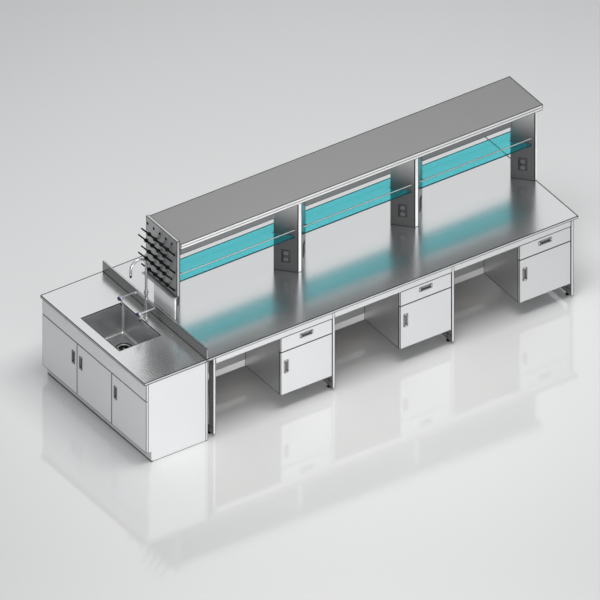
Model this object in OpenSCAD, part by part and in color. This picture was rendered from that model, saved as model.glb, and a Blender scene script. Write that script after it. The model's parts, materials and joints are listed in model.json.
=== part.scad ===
// Island laboratory bench in stainless steel: a long double-sided worktop on leg frames with
// hanging drawer cabinets, a sink unit across one end, and a reagent shelf with a peg board.
// X runs along the bench, the sink unit at the -X end. The front is at -Y and the floor at z = 0.

/* [Bench] */
// Length of the main worktop
bench_l = 3600; // [3300:50:4200]
// Depth of the island, front to back
bench_d = 1500; // [1420:10:1600]
// Height of the worktop above the floor
bench_h = 800; // [760:5:900]
// Thickness of the worktop edge
top_t = 25; // [22:1:40]
// Overhang of the worktop past the fronts
top_overhang = 15; // [8:1:30]
// Worktop end to the first leg frame, at the sink
end_left = 60; // [40:1:100]
// Last leg frame to the worktop end
end_right = 36; // [20:1:80]
// Thickness of the folded sheet
sheet = 1.2; // [1:0.1:1.5]

/* [Frames] */
// Height of the frame tube, seen from the side
tube_h = 60; // [50:1:65]
// Width of the frame tube
tube_t = 25; // [22:1:35]
// Wall of the frame tube
tube_wall = 1.5; // [1.2:0.1:2.5]
// Clear height under the leg frames
foot_h = 22; // [18:1:30]
// Diameter of a levelling foot
foot_d = 40; // [30:1:45]
// Centre of a foot from the outer face of its frame
foot_inset = 66; // [50:1:90]

/* [Hanging cabinets] */
// Width of a cabinet
cab_w = 500; // [450:10:560]
// Height of a cabinet
cab_h = 570; // [540:5:600]
// Depth of a cabinet with its fronts
cab_d = 517; // [480:1:540]
// Height of the drawer front
drawer_front_h = 141; // [136:1:170]
// Height of the drawer's sides
drawer_side_h = 100; // [80:1:115]
// Reach of the front flanges of a carcass
stile_w = 15; // [14:0.5:18]
// Space behind the drawer box
drawer_back_gap = 60; // [40:1:100]

/* [Fronts and pulls] */
// Thickness of doors and drawer fronts
front_t = 20; // [18:0.5:24]
// Gap between neighbouring fronts
reveal = 3; // [3:0.1:4]
// Gap between the fronts and the carcass
front_gap = 3; // [2.8:0.1:4]
// Length of a recessed pull
pull_l = 130; // [110:1:150]
// Width of a recessed pull
pull_w = 47; // [42:1:55]
// Length of the finger slot
slot_l = 92; // [80:1:104]
// Width of the finger slot
slot_w = 26; // [22:1:30]
// Depth of the finger slot
slot_d = 13; // [10:0.5:14]
// Door edge to the middle of its pull
pull_edge = 52; // [45:1:80]
// Door top to the top of its pull
pull_drop = 86; // [40:1:110]
// Drawer top to the middle of its pull
drawer_pull_drop = 50; // [45:1:70]
// Radius of a hinge pin
pin_r = 2.5; // [2:0.1:2.6]
// Pin axis from the hinge edge of the door
pin_edge = 8; // [7.6:0.1:9]

/* [Sink unit] */
// Width of the sink unit along the bench
sink_w = 620; // [600:5:700]
// Overhang of the counter past the sink doors
sink_overhang = 20; // [12:1:30]
// Height of the toe space
toe_h = 103; // [90:1:130]
// Depth of the toe space behind the door faces
toe_in = 50; // [40:1:70]
// Height of the fixed panel above the doors
apron_h = 164; // [120:1:180]
// Sink door's top to the top of its pull
sink_pull_drop = 100; // [40:1:130]
// Thickness of the side panels
side_t = 20; // [20:1:28]
// Thickness of the back panel
back_t = 15; // [12:1:20]
// Set-back of the side panels from the counter's ends
side_set = 2; // [1:0.5:6]
// Height of the backsplash
splash_h = 100; // [60:1:140]
// Thickness of the backsplash
splash_t = 15; // [12:1:20]

/* [Sink bowl] */
// Opening in the counter along X
open_w = 394; // [370:1:400]
// Opening in the counter along Y
open_l = 552; // [500:1:560]
// Counter edge to the opening
open_edge = 93; // [88:1:110]
// Opening's centre behind the middle of the counter
open_shift = 20; // [0:1:30]
// Radius of the opening's corners
open_r = 10; // [6:1:14]
// Bowl along X, under the counter
bowl_w = 424; // [402:1:430]
// Bowl along Y, under the counter
bowl_l = 556; // [540:1:570]
// Depth of the bowl's walls
bowl_depth = 268; // [200:1:280]
// Fall of the bowl's floor to the drain
bowl_fall = 8; // [4:0.5:12]
// Radius of the bowl's corners and bottom edges
bowl_r = 16; // [10:1:20]
// Width of the rim under the counter
rim_w = 12; // [8:1:16]
// Radius of the drain flange
drain_r = 64; // [58:1:66]
// Radius of the drain's mouth
waste_r = 50; // [44:1:54]
// Drain centre from the bowl wall beside the tap
drain_from_x = 119; // [110:1:150]
// Drain centre from the bowl's rear wall
drain_from_y = 189; // [150:1:270]

/* [Tap] */
// Tap axis from the face of the backsplash
tap_back = 68; // [64:1:72]
// Height of the swivel collar above the counter
collar_h = 240; // [220:1:260]
// Height of the spout's bend above the counter
spout_h = 515; // [480:1:530]
// Reach of the spout
spout_reach = 150; // [140:1:160]
// Height of the spout's outlet above the counter
outlet_h = 445; // [420:1:460]
// Radius of the spout tube
spout_r = 11; // [9:0.5:12]
// Height of the side arms above the counter
arm_h = 168; // [150:1:180]
// Side arm to the tap axis
arm_side = 135; // [110:1:160]
// Reach of the side arms over the bowl
arm_reach = 150; // [130:1:165]
// Radius of the side arms
arm_r = 8; // [6:0.5:9]
// Radius of a valve knob
knob_r = 19; // [16:0.5:24]

/* [Reagent shelf] */
// Length of the shelf
shelf_l = 3520; // [3300:10:3540]
// Depth of the top shelf
shelf_d = 480; // [400:10:560]
// Height of the top shelf above the worktop
shelf_h = 800; // [760:5:900]
// Thickness of the top shelf
shelf_t = 55; // [45:1:65]
// First middle column from the shelf's sink end
column_2_at = 1218; // [1100:1:1260]
// Second middle column from the shelf's sink end
column_3_at = 2353; // [2300:1:2400]
// Depth of a column, nose to nose
column_d = 300; // [280:5:340]
// Width of a column, corner to corner
column_w = 311; // [290:1:340]
// Width of a column's nose
nose_w = 34; // [24:1:40]
// Height of the glass shelf above the worktop
glass_h = 350; // [320:1:400]
// Depth of the glass shelf
glass_d = 260; // [230:5:270]
// Thickness of the glass
glass_t = 10; // [8:1:12]
// Guard rail above the glass
guard_h = 66; // [50:1:90]
// Radius of the guard rail
guard_r = 5; // [4:0.5:6]
// Lower edge of the spine panel above the worktop
spine_h = 504; // [470:1:560]
// Thickness of the spine panel
spine_t = 20; // [16:1:30]
// Width of a socket plate
socket_w = 76; // [70:1:86]
// Height of a socket plate
socket_l = 120; // [110:1:130]
// Middle of a socket plate above the worktop
socket_h = 147; // [120:1:180]

/* [Peg board] */
// Side of the board past the field of holes
board_side = 6; // [3:0.5:12]
// Last row of holes to the foot of the board
board_foot = 46; // [40:1:60]
// Thickness of the peg board
board_t = 28; // [22:1:30]
// Rise of the board above the top shelf
board_up = 26; // [10:1:30]
// Spacing of the peg holes, also between rows
peg_pitch = 87; // [84:1:88]
// Board top to the first row of holes
peg_drop = 62; // [55:1:68]
// Length of a peg
peg_l = 231; // [190:1:235]
// Lean of a peg from upright, in degrees
peg_lean = 40.5; // [38:0.5:42]
// Radius of a peg's shaft
peg_r = 5.5; // [4.5:0.5:6]
// Radius of the bulb on a peg
bulb_r = 14; // [11:0.5:15]
// Width of the drip trough
trough_w = 40; // [34:1:50]
// Radius of the trough's rolled lip
lip_r = 6; // [4:0.5:8]

/* [Hidden] */
$fn = 48;

// Every cut runs past the face it opens by this much
overrun = 2;
// Gap between pieces that rest on or are fixed to each other
seat = 0.2;
// Radial clearance of a pin or stem in its bore
fit = 0.05;

// The bench along X, and its levels
x_end = (bench_l + sink_w) / 2;
x_left = -x_end;
x_join = x_left + sink_w;
y_face = -bench_d / 2 + top_overhang;
frame_top = bench_h - top_t - seat;
leg_count = 4;
leg_pitch = (bench_l - end_left - end_right - tube_t) / (leg_count - 1);
legs_mid = x_join + (end_left + bench_l - end_right) / 2;
mitre_gap = 0.15;
rail_z = frame_top - tube_h - cab_h;
rail_y = y_face + cab_d + seat;
foot_pad_h = 8;
foot_stem_r = 6;

// Hanging cabinets, measured from the left end of their fronts
cab_top = frame_top - tube_h - seat;
cab_low = cab_top - cab_h;
cab_y = front_t + front_gap;
front_w = cab_w - reveal;
split_z = cab_top - 2 * reveal - drawer_front_h;
cab_door_x = [0, front_w];
cab_door_z = [cab_low + reveal, split_z];
drawer_z = [split_z + reveal, cab_top - reveal];
flange_h = 18;
drawer_lift = 5;
runner_w = 24;
runner_h = 36;
runner_wall = 1.5;
runner_play = 0.5;
slide_t = 6;
box_x = sheet + seat + runner_w + seat;
box_y = cab_d - drawer_back_gap;
box_z = split_z + reveal / 2 + flange_h / 2 + drawer_lift;
bush_wall = 2;
bush_gap = 0.3;
bush_r = pin_r + bush_wall;
pin_face = sheet + bush_gap + bush_r;
bush_l = 16;
pin_l = 13;
pin_plate_t = 2;
pin_plate_gap = 0.4;
pin_plate_r = 6;
pull_flange_t = 1.5;
pull_corner_r = 10;
slot_corner_r = 6;

// Sink unit, measured from the rear end of its doors
sink_len = bench_d - 2 * side_set;
sink_depth = sink_w - sink_overhang - seat;
sink_inner = sink_depth - back_t - seat;
sink_pitch = (sink_len + reveal) / 3;
sink_door_z = [toe_h + reveal, frame_top - apron_h - reveal];
mullion_w = 36;
shelf_under_bowl = 30;
bowl_x = x_left + open_edge + open_w / 2;
bowl_top = bench_h - top_t - seat;
bowl_floor = bowl_top - bowl_depth - bowl_fall;
recess_gap = 2;
fall_edge = 2;
drain_x = bowl_w / 2 - drain_from_x;
drain_y = bowl_l / 2 - drain_from_y;
drain_flange_t = 2.5;
waste_wall = 3;
waste_depth = 70;
tail_r = 20;
tail_l = 70;
trap_r = 36;
trap_h = 110;
outlet_r = 16;
outlet_in_share = 0.8;
outlet_up_share = 0.7;
basket_d = 26;
basket_rim = 4;
basket_play = 2;
basket_knob_r = 9;

// Tap
tap_x = x_join - seat - splash_t - tap_back;
tap_y = open_shift;
tap_foot_r = 28;
tap_foot_h = 12;
column_r = 13;
collar_r = 20;
collar_t = 18;
stem_r = 7;
stem_l = 16;
tip_l = 25;
tip_play = 0.2;
tip_share = 0.7;
bend_r = 25;
valve_r = 13;
valve_l = 28;
spindle_r = 4;
spindle_l = 12;
knob_l = 17;
knob_flutes = 6;
flute_at_share = 1.2;
flute_r_share = 0.35;
flute_low_share = 0.3;
nozzle_l = 52;
nozzle_r = 7;
side_tip_l = 22;

// Reagent shelf
shelf_x = x_end - shelf_l;
column_at = [0, column_2_at, column_3_at, shelf_l];
slant_run = (column_w - nose_w) / 2;
slant = atan2(column_d / 2, slant_run);
column_top = bench_h + shelf_h - shelf_t - seat;
glass_top = bench_h + glass_h;
glass_gap = 0.3;
clip_r = 4;
clip_l = 16;
clip_edge = 20;
edge_gap = 1.5;
socket_box_share = 0.8;
socket_box_d = 38;
socket_plate_t = 5;
socket_well_r = 17;
socket_well_d = 3;

// Peg board
board_face = shelf_x - seat - board_t;
board_top = bench_h + shelf_h + board_up;
peg_rows = 5;
pegs_in_row = 4;
peg_mid = 18.5;
board_w = (pegs_in_row + 1) * peg_pitch + 2 * board_side;
board_h = peg_drop + peg_rows * peg_pitch + board_foot;
peg_hole_gap = 0.3;
peg_hole_r = peg_r + peg_hole_gap;
peg_tip_r = 4.5;
peg_collar_r = 9;
peg_collar_t = 3;
bulb_share = 0.49;

function leg_x(i) = x_join + end_left + i * leg_pitch;
function cab_x(bay) = leg_x(bay + 1) - seat - cab_w;

// A box between two values on each axis
module slab(x, y, z) {
    translate([x[0], y[0], z[0]]) cube([x[1] - x[0], y[1] - y[0], z[1] - z[0]]);
}

// The range left inside a wall, run past the end on the open side
function hollow(r, wall, open) =
    [open < 0 ? r[0] - overrun : r[0] + wall, open > 0 ? r[1] + overrun : r[1] - wall];

// A folded tray, open towards one side
module tray(x, y, z, wall, open) {
    difference() {
        slab(x, y, z);
        slab(hollow(x, wall, open[0]), hollow(y, wall, open[1]), hollow(z, wall, open[2]));
    }
}

// A rectangular tube along X, open at both ends
module tube_x(x, y, z) {
    difference() {
        slab(x, y, z);
        slab([x[0] - overrun, x[1] + overrun], hollow(y, tube_wall, 0), hollow(z, tube_wall, 0));
    }
}

// A rectangle with round corners, about its middle
module round_rect(w, l, r) {
    square([w - 2 * r, l], center = true);
    square([w, l - 2 * r], center = true);
    for (x = [-1, 1], y = [-1, 1])
        translate([x * (w / 2 - r), y * (l / 2 - r)]) circle(r);
}

// Turns a flat outline into the Y-Z plane, with its thickness along +X
module in_yz() {
    rotate([90, 0, 90]) children();
}

// Turns a flat outline into the X-Z plane, with its thickness along +Y
module in_xz() {
    rotate([90, 0, 0]) mirror([0, 0, 1]) children();
}

// Places children at cabinet k, 1 to 3 along the front and 4 to 6 along the rear
module at_cabinet(k) {
    bay = (k - 1) % 3;
    if (k <= 3) translate([cab_x(bay), y_face, 0]) children();
    else translate([2 * legs_mid - cab_x(bay), -y_face, 0]) rotate([0, 0, 180]) children();
}

// Places children at the sink unit's doors, which face the -X end
module at_sink() {
    translate([x_left + sink_overhang, sink_len / 2, 0]) rotate([0, 0, -90]) children();
}

// Fronts

// The slot cut in a front for the cup of its pull, upright or lying
module pull_slot(upright) {
    size = upright ? [slot_w, slot_l] : [slot_l, slot_w];
    grow = 2 * (sheet + seat);
    translate([0, -overrun, 0]) in_xz() linear_extrude(front_t)
        round_rect(size[0] + grow, size[1] + grow, slot_corner_r + sheet + seat);
}

// A recessed pull: a flange on the face and a cup for the fingers
module pull(upright) {
    size = upright ? [slot_w, slot_l] : [slot_l, slot_w];
    outer = upright ? [pull_w, pull_l] : [pull_l, pull_w];
    color("dimgray") difference() {
        union() {
            translate([0, -pull_flange_t - seat, 0])
                in_xz() linear_extrude(pull_flange_t) round_rect(outer[0], outer[1], pull_corner_r);
            translate([0, -pull_flange_t - seat, 0]) in_xz() linear_extrude(slot_d + pull_flange_t + sheet)
                round_rect(size[0] + 2 * sheet, size[1] + 2 * sheet, slot_corner_r + sheet);
        }
        translate([0, -pull_flange_t - seat - overrun, 0]) in_xz()
            linear_extrude(slot_d + pull_flange_t + overrun) round_rect(size[0], size[1], slot_corner_r);
    }
}

// A hollow front: a folded skin with the pull's slot, closed by a liner at its back
module front_panel(x, z, at, upright) {
    difference() {
        tray(x, [0, front_t], z, sheet, [0, 1, 0]);
        translate([at[0], 0, at[1]]) pull_slot(upright);
        children();
    }
    inset = sheet + seat;
    slab([x[0] + inset, x[1] - inset], [front_t - sheet, front_t], [z[0] + inset, z[1] - inset]);
}

// A hinged front with a bush for the pivot pin at its top and bottom edges
module door_panel(x, z, drop, hinge_right) {
    pin_x = hinge_right ? x[1] - pin_edge : x[0] + pin_edge;
    pull_x = hinge_right ? x[0] + pull_edge : x[1] - pull_edge;
    pull_z = z[1] - drop - pull_l / 2;
    color("gainsboro") {
        front_panel(x, z, [pull_x, pull_z], true)
            translate([pin_x, pin_face, z[0] - overrun])
                cylinder(h = z[1] - z[0] + 2 * overrun, r = bush_r + seat);
        for (low = [z[0], z[1] - bush_l])
            translate([pin_x, pin_face, low]) difference() {
                cylinder(h = bush_l, r = bush_r);
                translate([0, 0, -overrun]) cylinder(h = bush_l + 2 * overrun, r = pin_r + fit);
            }
    }
}

module door_pull(x, z, drop, hinge_right) {
    pull_x = hinge_right ? x[0] + pull_edge : x[1] - pull_edge;
    translate([pull_x, 0, z[1] - drop - pull_l / 2]) pull(true);
}

// The pivot pin of a door edge on its bracket, which reaches out from the carcass
module hinge_pin(x, edge, up) {
    way = up ? 1 : -1;
    plate = edge + way * pin_plate_gap;
    low = up ? plate : plate - pin_plate_t;
    translate([x, pin_face, low]) {
        cylinder(h = pin_plate_t, r = pin_plate_r);
        translate([-pin_plate_r, 0, 0]) cube([2 * pin_plate_r, cab_y - seat - pin_face, pin_plate_t]);
    }
    pin_low = up ? edge - pin_l : plate - pin_plate_t / 2;
    translate([x, pin_face, pin_low]) cylinder(h = pin_l + pin_plate_gap + pin_plate_t / 2, r = pin_r);
}

// Hanging cabinets

// A folded-sheet box with front flanges and a divider under the drawer
module carcass() {
    inner = [sheet + seat, cab_w - sheet - seat];
    behind = cab_y + sheet + seat;
    rear = cab_d - sheet - seat;
    color("silver") {
        for (x = [0, cab_w - sheet])
            slab([x, x + sheet], [cab_y, cab_d], [cab_low, cab_top]);
        slab(inner, [cab_d - sheet, cab_d], [cab_low, cab_top]);
        for (z = [cab_low, split_z + reveal / 2, cab_top - sheet])
            slab(inner, [behind, rear], [z, z + sheet]);
        for (x = [inner[0], cab_w - stile_w])
            slab([x, x + stile_w - inner[0]], [cab_y, cab_y + sheet], [cab_low, cab_top]);
        for (z = [cab_low, split_z + (reveal - flange_h) / 2, cab_top - flange_h])
            slab([stile_w + seat, cab_w - stile_w - seat], [cab_y, cab_y + sheet], [z, z + flange_h]);
    }
}

// The fixed channels of the drawer's runners, one at each side of the carcass
module runner_pair() {
    low = box_z + (drawer_side_h - runner_h) / 2;
    for (flip = [0, 1])
        translate([flip * cab_w, 0, 0]) mirror([flip, 0, 0])
            tray([sheet + seat, sheet + seat + runner_w], [cab_y + sheet + seat, box_y],
                [low, low + runner_h], runner_wall, [1, -1, 0]);
}

// A drawer: its front, a folded box and the inner members of the runners
module drawer() {
    box = [box_x, cab_w - box_x];
    start = front_t + seat;
    top = box_z + drawer_side_h;
    slide_low = box_z + (drawer_side_h - runner_h) / 2 + runner_wall + runner_play;
    slide_high = slide_low + runner_h - 2 * (runner_wall + runner_play);
    color("gainsboro") {
        front_panel(cab_door_x, drawer_z, [front_w / 2, drawer_z[1] - drawer_pull_drop], false);
        slab([box[0] + sheet + seat, box[1] - sheet - seat], [start, box_y], [box_z, box_z + sheet]);
        for (x = [box[0], box[1] - sheet])
            slab([x, x + sheet], [start, box_y], [box_z, top]);
        slab([box[0] + sheet + seat, box[1] - sheet - seat], [box_y - sheet, box_y],
            [box_z + sheet + seat, top]);
        for (x = [box[0] - seat - slide_t, box[1] + seat])
            slab([x, x + slide_t], [cab_y + 2 * (sheet + seat), box_y - runner_wall - seat],
                [slide_low, slide_high]);
    }
}

module drawer_pull() {
    translate([front_w / 2, 0, drawer_z[1] - drawer_pull_drop]) pull(false);
}

module front_carcasses() {
    for (k = [1:3]) at_cabinet(k) carcass();
}

module rear_carcasses() {
    for (k = [4:6]) at_cabinet(k) carcass();
}

module drawer_runners() {
    color("gray") for (k = [1:6]) at_cabinet(k) runner_pair();
}

module hinge_pins() {
    color("gray") {
        for (k = [1:6]) at_cabinet(k) {
            hinge_pin(front_w - pin_edge, cab_door_z[1], true);
            hinge_pin(front_w - pin_edge, cab_door_z[0], false);
        }
        for (i = [0:2]) at_sink() {
            hinge_pin(sink_pin_x(i), sink_door_z[1], true);
            hinge_pin(sink_pin_x(i), sink_door_z[0], false);
        }
    }
}

module drawer_at(k) {
    at_cabinet(k) drawer();
}

module drawer_pull_at(k) {
    at_cabinet(k) drawer_pull();
}

module door_at(k) {
    at_cabinet(k) door_panel(cab_door_x, cab_door_z, pull_drop, true);
}

module door_pull_at(k) {
    at_cabinet(k) door_pull(cab_door_x, cab_door_z, pull_drop, true);
}

// Frames and worktop

// A tube of a leg frame in the frame's plane, mitred towards its inner side
module mitred_tube(len) {
    difference() {
        linear_extrude(tube_t) polygon([
            [mitre_gap, 0], [len - mitre_gap, 0],
            [len - tube_h - mitre_gap, tube_h], [tube_h + mitre_gap, tube_h]
        ]);
        translate([-overrun, tube_wall, tube_wall])
            cube([len + 2 * overrun, tube_h - 2 * tube_wall, tube_t - 2 * tube_wall]);
    }
}

// A closed leg frame across the bench, with two inner posts that carry the service rails
module leg_frame() {
    width = -2 * y_face;
    height = frame_top - foot_h;
    post_y = -(rail_y + (tube_t - tube_h) / 2);
    in_yz() {
        translate([y_face, foot_h, 0]) {
            mitred_tube(width);
            translate([0, height, 0]) mirror([0, 1, 0]) mitred_tube(width);
            mirror([1, -1, 0]) mitred_tube(height);
            translate([width, 0, 0]) mirror([1, 0, 0]) mirror([1, -1, 0]) mitred_tube(height);
        }
        for (y = [-post_y, post_y - tube_h])
            translate([y, foot_h + tube_h + seat, 0]) difference() {
                cube([tube_h, height - 2 * tube_h - 2 * seat, tube_t]);
                translate([tube_wall, -overrun, tube_wall])
                    cube([tube_h - 2 * tube_wall, height + 2 * overrun, tube_t - 2 * tube_wall]);
            }
    }
}

module leg_frames() {
    color("whitesmoke") for (i = [0:leg_count - 1]) translate([leg_x(i), 0, 0]) leg_frame();
}

module levelling_feet() {
    color("black") for (i = [0:leg_count - 1], side = [-1, 1])
        translate([leg_x(i) + tube_t / 2, side * (-y_face - foot_inset), 0]) {
            cylinder(h = foot_pad_h, r = foot_d / 2);
            cylinder(h = foot_h - seat, r = foot_stem_r);
        }
}

// Long tubes between the leg frames: under the worktop's edges and behind the cabinets
module bench_rails() {
    color("whitesmoke") for (i = [0:leg_count - 2], side = [0, 1])
        mirror([0, side, 0]) {
            x = [leg_x(i) + tube_t + seat, leg_x(i + 1) - seat];
            tube_x(x, [y_face, y_face + tube_t], [frame_top - tube_h, frame_top]);
            tube_x(x, [rail_y, rail_y + tube_t], [rail_z, rail_z + tube_h]);
        }
}

// Sheets that close the service space behind the cabinets and knee spaces
module service_panels() {
    color("gray") for (i = [0:leg_count - 2], side = [0, 1])
        mirror([0, side, 0])
            slab([leg_x(i) + tube_t + seat, leg_x(i + 1) - seat], [rail_y, rail_y + sheet],
                [rail_z + tube_h + seat, frame_top - seat]);
}

module worktop() {
    color("lightgray") tray([x_join, x_end], [-bench_d / 2, bench_d / 2], [bench_h - top_t, bench_h],
        sheet, [0, 0, -1]);
}

// The boards that fill the worktop and the sink counter
module core_boards() {
    inset = sheet + seat;
    y = [-bench_d / 2 + inset, bench_d / 2 - inset];
    z = [bench_h - top_t, bench_h - inset];
    color("burlywood") {
        slab([x_join + inset, x_end - inset], y, z);
        difference() {
            slab([x_left + inset, x_join - seat - inset], y, z);
            at_bowl(z[0] - overrun) linear_extrude(top_t + 2 * overrun) opening(sheet + seat);
        }
    }
}

// Sink unit

// The three doors, and which edge each hangs at: the first at its left, the others at their right
function sink_door_x(i) = [i * sink_pitch, (i + 1) * sink_pitch - reveal];
function sink_right(i) = i > 0;
function sink_pin_x(i) = sink_right(i) ? sink_door_x(i)[1] - pin_edge : sink_door_x(i)[0] + pin_edge;

// The outline of a side panel with its toe space, drawn inside a margin
module side_outline(m) {
    polygon([
        [cab_y + m, toe_h + m], [toe_in + m, toe_h + m], [toe_in + m, m],
        [sink_inner - m, m], [sink_inner - m, frame_top - m], [cab_y + m, frame_top - m]
    ]);
}

// A side panel folded from one sheet, its hollow towards the inside
module side_panel() {
    in_yz() difference() {
        linear_extrude(side_t) side_outline(0);
        translate([0, 0, sheet]) linear_extrude(side_t) side_outline(sheet);
    }
}

module sink_cabinet() {
    inner = [side_t + seat, sink_len - side_t - seat];
    floor_z = [toe_h, toe_h + sheet];
    stile = cab_y + sheet;
    color("gainsboro") at_sink() {
        side_panel();
        translate([sink_len, 0, 0]) mirror([1, 0, 0]) side_panel();
        tray([0, sink_len], [sink_depth - back_t, sink_depth], [0, frame_top], sheet, [0, -1, 0]);
        tray([0, sink_len], [0, cab_y - seat], [frame_top - apron_h, frame_top], sheet, [0, 1, 0]);
        slab(inner, [stile + seat, sink_inner], floor_z);
        slab(inner, [toe_in, toe_in + sheet], [0, toe_h - seat]);
        slab(inner, [cab_y, stile], [toe_h, toe_h + flange_h]);
        for (i = [1, 2]) {
            x = i * sink_pitch - reveal / 2;
            slab([x - mullion_w / 2, x + mullion_w / 2], [cab_y, stile],
                [toe_h + flange_h + seat, frame_top]);
        }
        partition = 2 * sink_pitch - reveal / 2;
        slab([partition - sheet / 2, partition + sheet / 2], [stile + seat, sink_inner],
            [floor_z[1] + seat, bowl_floor - sheet - shelf_under_bowl]);
    }
}

module sink_door_at(i) {
    at_sink() door_panel(sink_door_x(i), sink_door_z, sink_pull_drop, sink_right(i));
}

module sink_pull_at(i) {
    at_sink() door_pull(sink_door_x(i), sink_door_z, sink_pull_drop, sink_right(i));
}

// Places children at the middle of the bowl, at this height
module at_bowl(z) {
    translate([bowl_x, open_shift, z]) children();
}

// The outline of the counter's opening, grown by a margin
module opening(m) {
    round_rect(open_w + 2 * m, open_l + 2 * m, open_r + m);
}

// The counter with its backsplash and the rim folded down round the bowl's opening
module sink_counter() {
    x = [x_left, x_join - seat];
    y = [-bench_d / 2, bench_d / 2];
    low = bench_h - top_t;
    color("lightgray") difference() {
        union() {
            difference() {
                union() {
                    slab(x, y, [low, bench_h]);
                    slab([x[1] - splash_t, x[1]], y, [low, bench_h + splash_h]);
                }
                slab(hollow(x, sheet, 0), hollow(y, sheet, 0), [low - overrun, bench_h - sheet]);
                slab(hollow([x[1] - splash_t, x[1]], sheet, 0), hollow(y, sheet, 0),
                    [low - overrun, bench_h + splash_h - sheet]);
            }
            at_bowl(low) linear_extrude(top_t) opening(sheet);
        }
        at_bowl(low - overrun) linear_extrude(top_t + 2 * overrun) opening(0);
    }
}

// A box with round upright corners and round bottom edges, its top at z = 0
module tub(w, l, r, depth, above) {
    translate([0, 0, r - depth]) linear_extrude(depth - r + above) round_rect(w, l, r);
    translate([0, 0, -depth]) linear_extrude(r) square([w - 2 * r, l - 2 * r], center = true);
    for (x = [-1, 1]) translate([x * (w / 2 - r), 0, r - depth])
        rotate([90, 0, 0]) cylinder(h = l - 2 * r, r = r, center = true);
    for (y = [-1, 1]) translate([0, y * (l / 2 - r), r - depth])
        rotate([0, 90, 0]) cylinder(h = w - 2 * r, r = r, center = true);
    for (x = [-1, 1], y = [-1, 1]) translate([x * (w / 2 - r), y * (l / 2 - r), r - depth]) sphere(r);
}

// The fall of the floor: two troughs that meet in creases from the corners to the drain's flat
module floor_fall(m) {
    x = bowl_w / 2 - bowl_r - fall_edge;
    y = bowl_l / 2 - bowl_r - fall_edge;
    translate([0, 0, -bowl_depth - m]) {
        intersection() {
            translate([0, -y, 0]) in_xz() linear_extrude(2 * y)
                polygon([[-x, 0], [drain_x, -bowl_fall], [x, 0], [x, sheet], [-x, sheet]]);
            translate([-x, 0, 0]) in_yz() linear_extrude(2 * x)
                polygon([[-y, 0], [drain_y, -bowl_fall], [y, 0], [y, sheet], [-y, sheet]]);
        }
        translate([drain_x, drain_y, -bowl_fall])
            cylinder(h = bowl_fall + sheet / 2, r = drain_r + recess_gap + m);
    }
}

module sink_bowl() {
    color("darkgray") at_bowl(bowl_top) difference() {
        union() {
            tub(bowl_w + 2 * sheet, bowl_l + 2 * sheet, bowl_r + sheet, bowl_depth + sheet, 0);
            floor_fall(sheet);
            translate([0, 0, -sheet]) linear_extrude(sheet)
                round_rect(bowl_w + 2 * rim_w, bowl_l + 2 * rim_w, bowl_r);
        }
        tub(bowl_w, bowl_l, bowl_r, bowl_depth, overrun);
        floor_fall(0);
        translate([drain_x, drain_y, -bowl_depth - bowl_fall - sheet - overrun])
            cylinder(h = sheet + 2 * overrun, r = waste_r + seat);
    }
}

// The drain: a flange on the bowl's floor, its body, the tail pipe and the trap to the back panel
module sink_waste() {
    trap_low = -waste_depth - tail_l - trap_h;
    outlet_in = trap_r * outlet_in_share;
    back = x_left + sink_overhang + sink_depth - sheet;
    color("dimgray") at_bowl(bowl_floor) translate([drain_x, drain_y, 0]) {
        rotate_extrude() polygon([
            [waste_r - waste_wall, drain_flange_t], [drain_r, seat + drain_flange_t / 2], [drain_r, seat],
            [waste_r, seat], [waste_r, -waste_depth], [tail_r, -waste_depth],
            [tail_r, -waste_depth - tail_l], [tail_r - waste_wall, -waste_depth - tail_l],
            [tail_r - waste_wall, waste_wall - waste_depth], [waste_r - waste_wall, waste_wall - waste_depth]
        ]);
        translate([0, 0, trap_low - seat]) cylinder(h = trap_h, r = trap_r);
        translate([outlet_in, 0, trap_low + trap_h * outlet_up_share]) rotate([0, 90, 0])
            cylinder(h = back - (bowl_x + drain_x) - outlet_in - seat, r = outlet_r);
    }
}

// The lift-out strainer basket: a rim on the drain, a cup and a knob to pull it by
module basket_strainer() {
    rim_low = drain_flange_t + seat;
    cup_r = waste_r - waste_wall - basket_play;
    rim_r = cup_r + basket_play + basket_rim;
    color("black") at_bowl(bowl_floor) translate([drain_x, drain_y, 0])
        rotate_extrude() polygon([
            [0, -basket_d], [cup_r, -basket_d], [cup_r, rim_low], [rim_r, rim_low],
            [rim_r, rim_low + sheet], [cup_r - sheet, rim_low + sheet],
            [cup_r - sheet, sheet - basket_d], [basket_knob_r / 2, sheet - basket_d],
            [basket_knob_r / 2, -basket_knob_r], [basket_knob_r, -basket_knob_r / 2],
            [basket_knob_r, 0], [0, 0]
        ]);
}

// Tap

// A bent side arm with its valve body, spindle and nozzle, on the +Y side
module tap_arm() {
    straight = arm_side - bend_r;
    rotate([-90, 0, 0]) cylinder(h = straight, r = arm_r);
    translate([-bend_r, straight, 0]) rotate_extrude(angle = 90) translate([bend_r, 0]) circle(arm_r);
    translate([-bend_r, arm_side, 0]) rotate([0, -90, 0])
        cylinder(h = arm_reach - bend_r - valve_l / 2, r = arm_r);
    translate([valve_l / 2 - arm_reach, arm_side, 0]) rotate([0, -90, 0])
        cylinder(h = valve_l, r = valve_r);
    translate([-arm_reach - valve_l / 2 + overrun, arm_side, 0]) rotate([0, -90, 0])
        cylinder(h = spindle_l + overrun, r = spindle_r);
    translate([-arm_reach, arm_side, -nozzle_l]) cylinder(h = nozzle_l, r = nozzle_r);
}

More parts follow.
